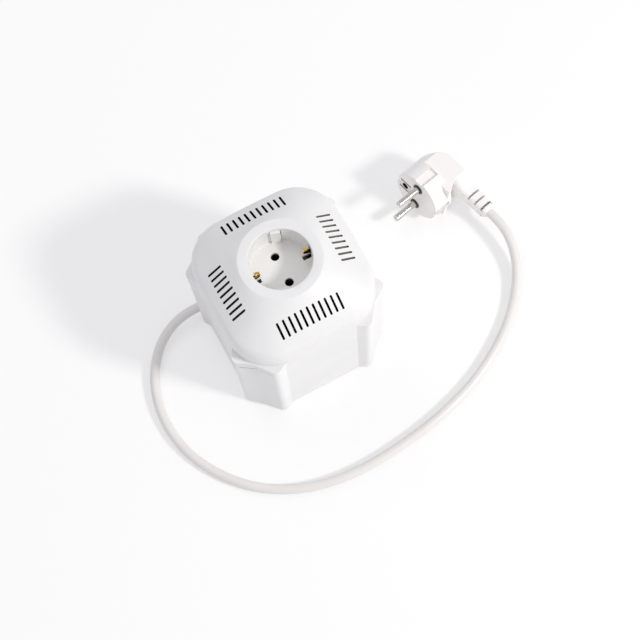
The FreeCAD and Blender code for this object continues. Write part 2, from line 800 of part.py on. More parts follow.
def make_cover():
    body = new_body("top_cover")
    flange_plan = new_sketch(body, "cover_flange_plan", d.seam_height)
    draw_outline(flange_plan, "flange", d.flange_half, d.flange_chamfer, d.flange_hollow)
    pad(body, flange_plan, d.flange_height, "cover_flange")
    gaps = new_sketch(body, "cover_corner_gap_plan", d.seam_height)
    inner = (d.flange_chamfer - d.flange_hollow) / 2 - d.corner_gap_depth / math.sqrt(2)
    outer = d.flange_chamfer / 2 + d.corner_gap_depth
    along = d.corner_gap_half / math.sqrt(2)
    for quarter in range(4):
        draw_polygon(gaps, [quarter_turned(spot, quarter) for spot in (
            (inner - along, inner + along), (inner + along, inner - along),
            (outer + along, outer - along), (outer - along, outer + along))])
    pocket(body, gaps, d.corner_gap, "cover_corner_gaps", upwards=True)

    nothing = Size(0.0, "0")
    wall_plan = new_sketch(body, "cover_wall_plan", d.seam_height)
    draw_rounded_square(wall_plan, d.dome_half, dome_reach, d.dome_side, d.dome_bulge)
    pad(body, wall_plan, slope_start - d.seam_height, "cover_wall")
    low, middle, high = dome_sections(body, "cover_dome", nothing, d.tower_height)
    dome = body.newObject("PartDesign::AdditiveLoft", "cover_dome")
    dome.Profile = low
    dome.Sections = [middle, high]
    shoulder = round_edges(body, dome, lambda p: near(p.z, slope_start.value), shoulder_round,
                           "cover_shoulder")
    round_edges(body, shoulder, lambda p: near(p.z, d.tower_height.value), d.crown_round, "cover_crown_round")

    rim_half = cavity_half - d.rim_gap
    rim_chamfer = cavity_chamfer - d.rim_gap * math.sqrt(2)
    inner_half = rim_half - d.rim_wall
    inner_chamfer = rim_chamfer - d.rim_wall * math.sqrt(2)
    rim_plan = new_sketch(body, "cover_rim_plan", d.seam_height)
    draw_polygon(rim_plan, octagon(rim_half, rim_chamfer))
    pad(body, rim_plan, d.rim_depth, "cover_rim", downwards=True)
    opening = new_sketch(body, "cover_opening_plan", rim_bottom)
    draw_polygon(opening, octagon(inner_half, inner_chamfer))
    pocket(body, opening, 2 * d.rim_depth, "cover_opening", upwards=True)

    inner_low, inner_middle, inner_high = dome_sections(body, "cover_hollow", d.wall, insert_top)
    hollow_plan = new_sketch(body, "cover_hollow_plan", d.seam_height + d.rim_depth)
    draw_rounded_square(hollow_plan, d.dome_half - d.wall, dome_reach - d.wall,
                        d.dome_side - d.wall * d.hollow_side_share, d.dome_bulge)
    inner_start = slope_start - (slope_wall - slope * d.wall)
    pocket(body, hollow_plan, inner_start - d.seam_height - d.rim_depth, "cover_hollow_wall", upwards=True)
    hollow = body.newObject("PartDesign::SubtractiveLoft", "cover_hollow")
    hollow.Profile = inner_low
    hollow.Sections = [inner_middle, inner_high]
    doc.recompute()

    boss_plan = new_sketch(body, "cover_boss_plan", rim_bottom)
    for side_x, side_y in CORNERS:
        draw_circle(boss_plan, side_x * d.pillar_screw_x, side_y * d.pillar_screw_y, d.cover_boss)
    boss_top = d.tower_height - slope * (d.pillar_screw_x + d.cover_boss - d.crown_half) - slope_wall
    pad(body, boss_plan, boss_top - d.cover_boss_clear - rim_bottom, "cover_bosses")
    ear_boss_plan = new_sketch(body, "cover_ear_boss_plan", ear_bottom + d.ear_thickness)
    for side in (1, -1):
        draw_circle(ear_boss_plan, side * d.ear_place, side * d.ear_place, d.ear_boss)
    pad(body, ear_boss_plan, d.ear_boss_height, "cover_ear_bosses")
    pilot_plan = new_sketch(body, "cover_pilot_plan", rim_bottom)
    for side_x, side_y in CORNERS:
        draw_circle(pilot_plan, side_x * d.pillar_screw_x, side_y * d.pillar_screw_y,
                    d.screw_core + d.gap / 2)
    pocket(body, pilot_plan, d.screw_bite + d.screw_end_gap, "cover_pilots", upwards=True)
    ear_pilot_plan = new_sketch(body, "cover_ear_pilot_plan", ear_bottom + d.ear_thickness)
    for side in (1, -1):
        draw_circle(ear_pilot_plan, side * d.ear_place, side * d.ear_place, d.screw_core + d.gap / 2)
    pocket(body, ear_pilot_plan, d.ear_boss_height - d.pilot_web, "cover_ear_pilots", upwards=True)

    mouth_plan = new_sketch(body, "cover_mouth_plan", d.tower_height)
    draw_circle(mouth_plan, 0, 0, d.mouth_radius)
    mouth = pocket(body, mouth_plan, d.wall * 2, "cover_mouth")
    mouth_edge = [f"Edge{index}" for index, edge in enumerate(mouth.Shape.Edges, start=1)
                  if near(edge.BoundBox.ZMin, d.tower_height.value)
                  and near(edge.BoundBox.XLength, 2 * d.mouth_radius.value)]
    lip = body.newObject("PartDesign::Fillet", "cover_mouth_round")
    lip.Base = (mouth, mouth_edge)
    bind(lip, "Radius", d.mouth_round)

    front_plan = new_sketch(body, "cover_front_slot_plan", d.tower_height)
    first_x = -d.slot_pitch * (d.slots_front - 1) / 2
    draw_slot(front_plan, first_x, -d.slot_outer, -d.slot_inner, d.slot_width / 2)
    draw_slot(front_plan, first_x, d.slot_inner, d.slot_outer, d.slot_width / 2)
    slot_depth = slope * (d.dome_half - d.crown_half) + d.wall
    front_slot = pocket(body, front_plan, slot_depth, "cover_front_slot")
    pattern(body, front_slot, "H_Axis", d.slot_pitch * (d.slots_front - 1), d.slots_front,
            "cover_front_slots")
    side_plan = new_sketch(body, "cover_side_slot_plan", d.tower_height)
    first_y = -d.slot_pitch * (d.slots_side - 1) / 2
    draw_slot(side_plan, first_y, -d.slot_outer, -d.slot_inner, d.slot_width / 2, upright=False)
    draw_slot(side_plan, first_y, d.slot_inner, d.slot_outer, d.slot_width / 2, upright=False)
    side_slot = pocket(body, side_plan, slot_depth, "cover_side_slot")
    pattern(body, side_slot, "V_Axis", d.slot_pitch * (d.slots_side - 1), d.slots_side, "cover_side_slots")
    return body


def make_insert():
    body = new_body("socket_insert")
    outer = d.mouth_radius + d.recess_wall
    rim_low = insert_top - d.insert_rim_height
    profile = new_sketch(body, "insert_profile", 0.0, "XZ_Plane")
    draw_polygon(profile, (
        (0, insert_bottom), (outer, insert_bottom), (outer, rim_low), (outer + d.insert_rim, rim_low),
        (outer + d.insert_rim, insert_top), (d.mouth_radius, insert_top), (d.mouth_radius, recess_bottom),
        (0, recess_bottom)))
    cup = body.newObject("PartDesign::Revolution", "insert_cup")
    cup.Profile = profile
    cup.ReferenceAxis = (profile, ["V_Axis"])
    cup.Angle = 360.0

    guides = new_sketch(body, "insert_guide_plan", recess_bottom)
    inner, root_radius = d.mouth_radius - d.guide_depth, d.mouth_radius + d.recess_wall / 2
    out_x, out_y = sine(d.guide_turn), cosine(d.guide_turn)
    half = d.guide_width / 2
    for side in (1, -1):
        draw_polygon(guides, [
            (side * (reach * out_x + across * out_y), side * (reach * out_y - across * out_x))
            for reach, across in ((inner, half), (inner, -half), (root_radius, -half), (root_radius, half))])
    pad(body, guides, insert_top - d.guide_drop - recess_bottom, "insert_guides")

    ears = new_sketch(body, "insert_ear_plan", ear_bottom)
    for side in (1, -1):
        draw_circle(ears, side * d.ear_place, side * d.ear_place, d.ear_radius)
    pad(body, ears, d.ear_thickness, "insert_ears")
    arms = new_sketch(body, "insert_arm_plan", ear_bottom)
    arm_half = d.ear_radius / math.sqrt(2)
    arm_root = outer / math.sqrt(2) - d.recess_wall / 2
    for side in (1, -1):
        draw_polygon(arms, (
            (side * (arm_root + arm_half), side * (arm_root - arm_half)),
            (side * (d.ear_place + arm_half), side * (d.ear_place - arm_half)),
            (side * (d.ear_place - arm_half), side * (d.ear_place + arm_half)),
            (side * (arm_root - arm_half), side * (arm_root + arm_half))))
    pad(body, arms, d.ear_thickness, "insert_arms")
    ear_holes = new_sketch(body, "insert_ear_hole_plan", ear_bottom)
    for side in (1, -1):
        draw_circle(ear_holes, side * d.ear_place, side * d.ear_place, d.screw_hole)
    pocket(body, ear_holes, d.ear_thickness, "insert_ear_holes", upwards=True)
    pins = new_sketch(body, "insert_pin_plan", recess_bottom)
    for side in (1, -1):
        draw_circle(pins, 0, side * pin_y, d.pin_hole)
    pocket(body, pins, d.recess_floor, "insert_pin_holes")
    windows = new_sketch(body, "insert_window_plan", insert_bottom)
    for side in (1, -1):
        draw_rectangle(windows, side * (outer - d.window_reach), -d.window_width / 2,
                       side * (outer + d.window_clear), d.window_width / 2)
    pocket(body, windows, d.recess_floor + d.window_height, "insert_windows", upwards=True)
    screw = new_sketch(body, "insert_screw_plan", insert_bottom)
    draw_circle(screw, 0, 0, d.screw_core + d.gap / 2)
    pocket(body, screw, d.insert_screw_depth, "insert_screw_hole", upwards=True)
    return body


def make_carrier():
    body = new_body("contact_carrier")
    plan = new_sketch(body, "carrier_plan", carrier_bottom)
    draw_circle(plan, 0, 0, d.carrier_radius)
    pad(body, plan, d.carrier_height, "carrier_block")
    wells = new_sketch(body, "carrier_well_plan", insert_bottom)
    for side in (1, -1):
        draw_circle(wells, 0, side * pin_y, d.contact_outer + d.gap)
    pocket(body, wells, d.contact_drop + d.contact_height + d.gap, "carrier_wells")
    tabs = new_sketch(body, "carrier_tab_plan", carrier_bottom)
    tab = contact_tab_size()
    for side in (1, -1):
        draw_rectangle(tabs, -tab[0] / 2 - d.gap, side * pin_y - tab[1] / 2 - d.gap,
                       tab[0] / 2 + d.gap, side * pin_y + tab[1] / 2 + d.gap)
    pocket(body, tabs, d.carrier_height - d.contact_drop - d.contact_height, "carrier_tab_slots",
           upwards=True)
    screw = new_sketch(body, "carrier_screw_plan", carrier_bottom)
    draw_circle(screw, 0, 0, d.screw_hole)
    pocket(body, screw, d.carrier_height, "carrier_screw_hole", upwards=True)
    return body


def contact_tab_size():
    return d.contact_outer, d.contact_slit


def make_line_contacts():
    """Two slit sleeves that grip the pins, each with a solder tab below the carrier."""
    bottom = insert_bottom - d.contact_drop - d.contact_height
    across = 2 * d.contact_outer + 2 * d.gap
    tab = contact_tab_size()
    for label, side in (("line_contact", 1), ("neutral_contact", -1)):
        y = side * pin_y
        sleeve = drum(f"{label}_sleeve", d.contact_outer, d.contact_height - d.gap, (0, y, bottom))
        tail = middle_block(f"{label}_tail", (*tab, bottom - carrier_bottom + d.tab_length),
                            size_of(0), y, carrier_bottom - d.tab_length)
        solid = join(f"{label}_solid", [sleeve, tail])
        bore = drum(f"{label}_bore", d.contact_bore, d.contact_height, (0, y, bottom + d.sleeve_floor))
        slit = middle_block(f"{label}_slit", (across, d.contact_slit, d.contact_height),
                            size_of(0), y, bottom + d.slit_start)
        node(cut(label, solid, join(f"{label}_voids", [bore, slit])), label)


def leaf_points(side):
    """Side view of a sprung earth contact: a leaf, a rounded nose that presses on the plug, and a tip."""
    outer, inner = d.leaf_place, d.leaf_place - d.leaf_thickness
    foot = strap_top + d.gap
    knee, nose = strap_bottom + d.leaf_knee, strap_bottom + d.nose_height
    land = nose + d.nose_land
    low, high = nose - d.nose_fold, land + d.nose_fold
    bend, bend_back = d.nose_reach + d.nose_slant, d.nose_reach + d.nose_slant + d.leaf_thickness / 2
    back, top = d.nose_reach + d.leaf_thickness, high + d.leaf_tip_rise
    points = (
        (inner, foot), (inner, knee), (bend, low), (d.nose_reach, nose), (d.nose_reach, land), (bend, high),
        (d.leaf_tip_place, top), (d.leaf_tip_place + d.gap / 2, top - d.leaf_thickness),
        (bend_back, high - d.leaf_thickness), (back, land - d.gap), (back, nose + d.gap),
        (bend_back, low + d.leaf_thickness), (outer, knee + d.leaf_thickness - d.gap), (outer, foot))
    return [(side * x, z) for x, z in points]


def make_earth_contacts():
    for label, side in (("earth_contact_right", 1), ("earth_contact_left", -1)):
        body = new_body(label)
        profile = new_sketch(body, f"{label}_profile", 0.0, "XZ_Plane")
        draw_polygon(profile, leaf_points(side))
        pad(body, profile, d.leaf_width, f"{label}_leaf", both_sides=True)
    body = new_body("earth_bridge")
    plan = new_sketch(body, "earth_bridge_plan", strap_bottom)
    draw_rectangle(plan, -d.strap_reach, -d.strap_width / 2, d.strap_reach, d.strap_width / 2)
    pad(body, plan, d.strap_thickness, "earth_bridge_strip")
    hole = new_sketch(body, "earth_bridge_hole_plan", strap_bottom)
    draw_circle(hole, 0, 0, d.screw_hole)
    pocket(body, hole, d.strap_thickness, "earth_bridge_hole", upwards=True)


def screw_solid(name, head_spot, shank_length, axis="z"):
    """A pan head and a shank; the head's inner face lies at the given spot."""
    x, y, z = (size_of(value) for value in head_spot)
    if axis == "z":
        head = drum(f"{name}_head", d.screw_head, d.screw_head_height, (x, y, z - d.screw_head_height))
        shank = drum(f"{name}_shank", d.screw_core, shank_length, (x, y, z))
    elif axis == "-z":
        head = drum(f"{name}_head", d.screw_head, d.screw_head_height, (x, y, z))
        shank = drum(f"{name}_shank", d.screw_core, shank_length, (x, y, z - shank_length))
    else:
        head = drum(f"{name}_head", d.screw_head, d.screw_head_height, (x, y - d.screw_head_height, z), "y")
        shank = drum(f"{name}_shank", d.screw_core, shank_length, (x, y, z), "y")
    return join(name, [head, shank])


def make_screws():
    head_seat = d.foot_lift + d.counterbore_depth
    length = rim_bottom - head_seat + d.screw_bite
    screws = [screw_solid(f"cover_screw_{index}",
                          (way_x * d.pillar_screw_x, way_y * d.pillar_screw_y, head_seat), length)
              for index, (way_x, way_y) in enumerate(CORNERS, start=1)]
    node(group("cover_screws", screws), "cover_screws")
    ear_length = d.ear_thickness + d.ear_boss_height - d.pilot_web - d.screw_end_gap
    screws = [screw_solid(f"socket_screw_{index}", (side * d.ear_place, side * d.ear_place, ear_bottom),
                          ear_length)
              for index, side in enumerate((1, -1), start=1)]
    middle = d.strap_thickness + d.carrier_height + d.insert_screw_depth - d.gap
    screws.append(screw_solid("socket_screw_3", (0, 0, strap_bottom), middle))
    node(group("socket_screws", screws), "socket_screws")
    band_seat = floor_top + d.band_boss_height + d.band_thickness
    screws = [screw_solid(f"band_screw_{index}", (side * d.band_screw_x, d.transformer_y, band_seat),
                          d.band_boss_height + d.band_thickness, "-z")
              for index, side in enumerate((1, -1), start=1)]
    node(group("transformer_screws", screws), "transformer_screws")
    screws = [screw_solid(f"board_screw_{index}", (x, d.board_face, z),
                          cavity_half - d.board_face - d.screw_end_gap, "y")
              for index, (x, z) in enumerate(board_screw_places(), start=1)]
    node(group("board_screws", screws), "board_screws")
    clip_seat = d.exit_z - d.cord_radius - d.cord_gap
    clip_screw = screw_solid("clip_screw_solid", (d.clip_x, d.clip_screw_y, clip_seat),
                             clip_seat - floor_top, "-z")
    node(group("clip_screw", [clip_screw]), "clip_screw")


def make_feet():
    pads = [drum(f"foot_{index}", d.foot_radius, d.foot_lift + d.foot_recess,
                 (way_x * d.foot_x, way_y * d.foot_y, 0))
            for index, (way_x, way_y) in enumerate(CORNERS, start=1)]
    node(group("feet", pads), "feet")


def make_transformer():
    window_height = d.core_height - 2 * d.core_leg
    window_width = (d.core_width - 4 * d.core_leg) / 2
    core = middle_block("core_stack_solid", (d.core_width, d.core_stack, d.core_height),
                        size_of(0), d.transformer_y, floor_top)
    window_middle = d.core_leg + window_width / 2
    windows = [middle_block(f"core_window_{index}", (window_width, 2 * d.core_stack, window_height),
                            side * window_middle, d.transformer_y, floor_top + d.core_leg)
               for index, side in enumerate((1, -1), start=1)]
    node(cut("transformer_core", core, join("core_windows", windows)), "transformer_core")

    window_bottom = floor_top + d.core_leg
    bore = (2 * d.core_leg + 2 * d.coil_gap, d.core_stack + 2 * d.coil_gap)
    tube = (bore[0] + 2 * d.bobbin_wall, bore[1] + 2 * d.bobbin_wall)
    flange = (2 * d.core_leg + 2 * window_width - 2 * d.coil_gap, d.core_stack + 2 * d.coil_build)
    low = window_bottom + d.coil_gap
    height = window_height - 2 * d.coil_gap
    tube_solid = middle_block("bobbin_tube", (*tube, height), size_of(0), d.transformer_y, low)
    flanges = [middle_block(f"bobbin_flange_{index}", (*flange, d.bobbin_wall), size_of(0),
                            d.transformer_y, z)
               for index, z in enumerate((low, low + height - d.bobbin_wall), start=1)]
    tunnel = middle_block("bobbin_tunnel", (*bore, height + 2 * d.gap), size_of(0), d.transformer_y,
                          low - d.gap)
    solid = join("bobbin_solid", [tube_solid, *flanges])
    node(cut("bobbin", solid, tunnel), "bobbin")

    coil_low = low + d.bobbin_wall + d.gap / 2
    coil_height = height - 2 * d.bobbin_wall - d.gap
    outer = (flange[0] - 2 * d.coil_gap, flange[1] - 2 * d.coil_gap)
    inner = (tube[0] + 2 * d.coil_gap, tube[1] + 2 * d.coil_gap)
    body = new_body("winding")
    plan = new_sketch(body, "winding_plan", coil_low)
    half_x, half_y = outer[0] / 2, outer[1] / 2
    cut_corner = d.coil_build / 2
    y0 = d.transformer_y
    draw_polygon(plan, (
        (half_x - cut_corner, y0 - half_y), (half_x, y0 - half_y + cut_corner),
        (half_x, y0 + half_y - cut_corner), (half_x - cut_corner, y0 + half_y),
        (cut_corner - half_x, y0 + half_y), (-half_x, y0 + half_y - cut_corner),
        (-half_x, y0 - half_y + cut_corner), (cut_corner - half_x, y0 - half_y)))
    pad(body, plan, coil_height, "winding_coil")
    tunnel_plan = new_sketch(body, "winding_tunnel_plan", coil_low)
    draw_rectangle(tunnel_plan, -inner[0] / 2, y0 - inner[1] / 2, inner[0] / 2, y0 + inner[1] / 2)
    pocket(body, tunnel_plan, coil_height, "winding_tunnel", upwards=True)

    body = new_body("transformer_band")
    half = d.core_width / 2
    seat = floor_top + d.band_boss_height
    top = floor_top + d.core_height
    profile = new_sketch(body, "band_profile", -y0, "XZ_Plane")
    outer_x = half + d.band_thickness
    right = ((half + d.band_foot, seat), (half + d.band_foot, seat + d.band_thickness),
             (outer_x, seat + d.band_thickness), (outer_x, top + d.band_thickness))
    left = ((-outer_x, top + d.band_thickness), (-outer_x, seat + d.band_thickness),
            (-half - d.band_foot, seat + d.band_thickness), (-half - d.band_foot, seat))
    draw_polygon(profile, (*right, *left, (-half, seat), (-half, top), (half, top), (half, seat)))
    pad(body, profile, d.band_width, "band_strip", both_sides=True)
    holes = new_sketch(body, "band_hole_plan", seat)
    for side in (1, -1):
        draw_circle(holes, side * d.band_screw_x, y0, d.screw_hole)
    pocket(body, holes, d.band_thickness, "band_holes", upwards=True)


def make_board():
    body = new_body("circuit_board")
    plan = new_sketch(body, "board_plan", -d.board_face, "XZ_Plane")
    draw_rectangle(plan, d.board_left, d.board_bottom, d.board_left + d.board_width, board_top)
    pad(body, plan, d.board_thickness, "board_plate", downwards=True)
    holes = new_sketch(body, "board_hole_plan", -d.board_face, "XZ_Plane")
    for x, z in board_screw_places():
        draw_circle(holes, x, z, d.screw_hole)
    pocket(body, holes, d.board_thickness, "board_holes")

    places = ((d.left_relay_x, upper_row), (d.right_relay_x, upper_row), (d.left_relay_x, lower_row))
    front = d.board_face - d.relay_depth
    for index, (x, bottom) in enumerate(places, start=1):
        body = new_body(f"relay_{index}")
        plan = new_sketch(body, f"relay_{index}_plan", -front, "XZ_Plane")
        half = d.relay_width / 2
        draw_rectangle(plan, x - half, bottom, x + half, bottom + relay_height)
        case = pad(body, plan, d.relay_depth, f"relay_{index}_case", downwards=True)
        round_edges(body, case, lambda p: near(p.y, front.value), d.relay_round, f"relay_{index}_rim")

    low = d.board_bottom + d.terminal_lift
    half_space = (upper_row - low - d.terminal_height) / 2
    radius = half_space - d.row_gap
    x, y, z = d.capacitor_x, d.board_face - d.capacitor_length, upper_row - half_space
    can = drum("capacitor_can", radius, d.capacitor_length, (x, y, z), "y")
    half_vent = d.vent_width / 2
    cross = [block("capacitor_vent_1", (radius, 2 * d.vent_depth, d.vent_width),
                   (x - radius / 2, y - d.vent_depth, z - half_vent)),
             block("capacitor_vent_2", (d.vent_width, 2 * d.vent_depth, radius),
                   (x - half_vent, y - d.vent_depth, z - radius / 2))]
    node(cut("filter_capacitor", can, join("capacitor_vents", cross)), "filter_capacitor")

    chip = block("control_chip", (d.chip_width, d.chip_depth, d.chip_length),
                 (d.chip_x - d.chip_width / 2, d.board_face - d.chip_depth, d.board_bottom + d.chip_lift))
    node(chip, "control_chip")

    x, y, z = d.terminal_x, d.board_face - d.terminal_depth, low + d.terminal_height / 2
    case = block("terminal_case", (d.terminal_width, d.terminal_depth, d.terminal_height),
                 (x - d.terminal_width / 2, y, low))
    ports = [drum(f"terminal_port_{index}", d.port_radius, 2 * d.port_depth,
                  (x + shift * d.port_pitch, y - d.port_depth, z), "y")
             for index, shift in enumerate((-1, 0, 1), start=1)]
    node(cut("terminal_block", case, join("terminal_ports", ports)), "terminal_block")

    half = d.fuse_length / 2
    x, y, z = d.fuse_x, d.board_face - d.fuse_radius - d.fuse_stand, board_top - d.fuse_row / 2
    tube = drum("fuse_tube", d.fuse_radius, d.fuse_length, (x - half, y, z), "x")
    node(group("fuse", [tube]), "fuse")
    clips = []
    width, lip = d.fuse_clip_width, d.fuse_radius / 2
    jaw_height = 2 * d.fuse_radius + 2 * d.fuse_clip_wall
    for index, side in enumerate((-1, 1), start=1):
        spot = x + side * (half - d.fuse_clip_inset)
        jaw = block(f"fuse_clip_{index}_jaw", (width, lip + d.fuse_radius + d.fuse_stand, jaw_height),
                    (spot - width / 2, y - lip, z - jaw_height / 2))
        space = drum(f"fuse_clip_{index}_space", d.fuse_radius + d.cord_gap, 2 * width,
                     (spot - width, y, z), "x")
        clips.append(cut(f"fuse_clip_{index}", jaw, space))
    node(group("fuse_clips", clips), "fuse_clips")


def make_cord_exit():
    body = new_body("cord_bush")
    profile = new_sketch(body, "bush_profile", -d.exit_y, "XZ_Plane")
    bore = d.cord_radius + d.cord_gap
    shoulder_back = d.bush_shoulder_x + d.bush_shoulder_width
    z = d.exit_z
    draw_polygon(profile, (
        (d.exit_x, z + bore), (d.bush_inner_end, z + bore), (d.bush_inner_end, z + d.bush_nose),
        (shoulder_back, z + d.bush_neck), (shoulder_back, z + d.bush_shoulder),
        (d.bush_shoulder_x, z + d.bush_shoulder), (d.bush_shoulder_x, z + d.bush_neck),
        (d.bush_taper_x, z + d.bush_neck), (d.exit_x, z + d.bush_nose)))
    axis = profile.addGeometry(Part.LineSegment(Vector(d.exit_x.value, z.value, 0),
                                                Vector(d.bush_inner_end.value, z.value, 0)), True)
    fix_point(profile, axis, 1, d.exit_x, z)
    fix_point(profile, axis, 2, d.bush_inner_end, z)
    turn = body.newObject("PartDesign::Revolution", "bush_turn")
    turn.Profile = profile
    turn.ReferenceAxis = (profile, ["Axis0"])
    turn.Angle = 360.0

    inner_end = d.clip_x + d.clip_width
    lead = drum("cord_lead_in", d.cord_radius, inner_end - d.exit_x, (d.exit_x, d.exit_y, d.exit_z), "x")
    node(lead, "cord_lead_in")

    ring_outer = d.cord_radius + d.cord_gap + d.clip_thickness
    left = d.clip_x - d.clip_width / 2
    loop = drum("cord_clip_loop", ring_outer, d.clip_width, (left, d.exit_y, d.exit_z), "x")
    tab_width = d.exit_y - d.clip_screw_y + d.clip_boss
    tab = block("cord_clip_tab", (d.clip_width, tab_width, d.clip_thickness),
                (left, d.exit_y - tab_width, d.exit_z - ring_outer))
    inside = drum("cord_clip_inside", d.cord_radius + d.cord_gap, d.clip_width * 2,
                  (left - d.clip_width / 2, d.exit_y, d.exit_z), "x")
    hole = drum("cord_clip_hole", d.screw_hole, d.clip_thickness * 3,
                (d.clip_x, d.clip_screw_y, d.exit_z - ring_outer - d.clip_thickness))
    clip = cut("cord_clip", join("cord_clip_solid", [loop, tab]), join("cord_clip_voids", [inside, hole]))
    node(clip, "cord_clip")


def cord_path(points):
    """Straight runs joined by tangent arcs; prints the radii."""
    spots = [Vector(*point) for point in points]
    edges = []
    start = spots[0]
    radii = []
    for before, corner, after in zip(spots, spots[1:], spots[2:]):
        arrive, leave = corner - before, after - corner
        shorter = min(arrive.Length, leave.Length)
        half_turn = arrive.getAngle(leave) / 2
        reach = BEND_SHARE * shorter
        radii.append(reach / math.tan(half_turn))
        arrive.normalize()
        leave.normalize()
        first = corner - arrive * reach
        last = corner + leave * reach
        inward = (leave - arrive).normalize()
        middle = corner + inward * (radii[-1] / math.cos(half_turn) - radii[-1])
        edges.append(Part.LineSegment(start, first).toShape())
        edges.append(Part.Arc(first, middle, last).toShape())
        start = last
    edges.append(Part.LineSegment(start, spots[-1]).toShape())
    print("cord radii", " ".join(f"{radius:.0f}" for radius in radii))
    return Part.Wire(edges)


def make_cord():
    radius = d.cord_radius.value
    path = cord_path(CORD_ROUTE)
    start = Vector(*CORD_ROUTE[0])
    along = Vector(*CORD_ROUTE[1]) - start
    section = Part.Wire([Part.Circle(start, along, radius).toShape()])
    tube = path.makePipeShell([section], True, False)
    expected = math.pi * radius ** 2 * path.Length
    print(f"cord length {path.Length:.1f}, volume {tube.Volume:.0f} of {expected:.0f}")
    if abs(tube.Volume / expected - 1) > VOLUME_TOLERANCE:
        raise RuntimeError("the cord's volume is wrong")
    cord = doc.addObject("Part::Feature", "mains_cord")
    cord.Shape = tube
    node(cord, "mains_cord")


def plug_place():
    """The plug lies on its side; its strain relief ends where the cord ends."""
    turn, tilt = math.radians(d.plug_turn.value), math.radians(d.plug_tilt.value)
    pins = Vector(math.cos(turn) * math.cos(tilt), math.sin(turn) * math.cos(tilt), math.sin(tilt))
    earth = Vector(math.sin(turn), -math.cos(turn), 0)
    line = earth.cross(pins)
    facing = Rotation(line, earth, pins, "ZXY")
    relief_end = Vector(0, -(d.relief_start + d.relief_length).value, -d.relief_depth.value)
    return Placement(Vector(*CORD_ROUTE[-1]) - facing.multVec(relief_end), facing)


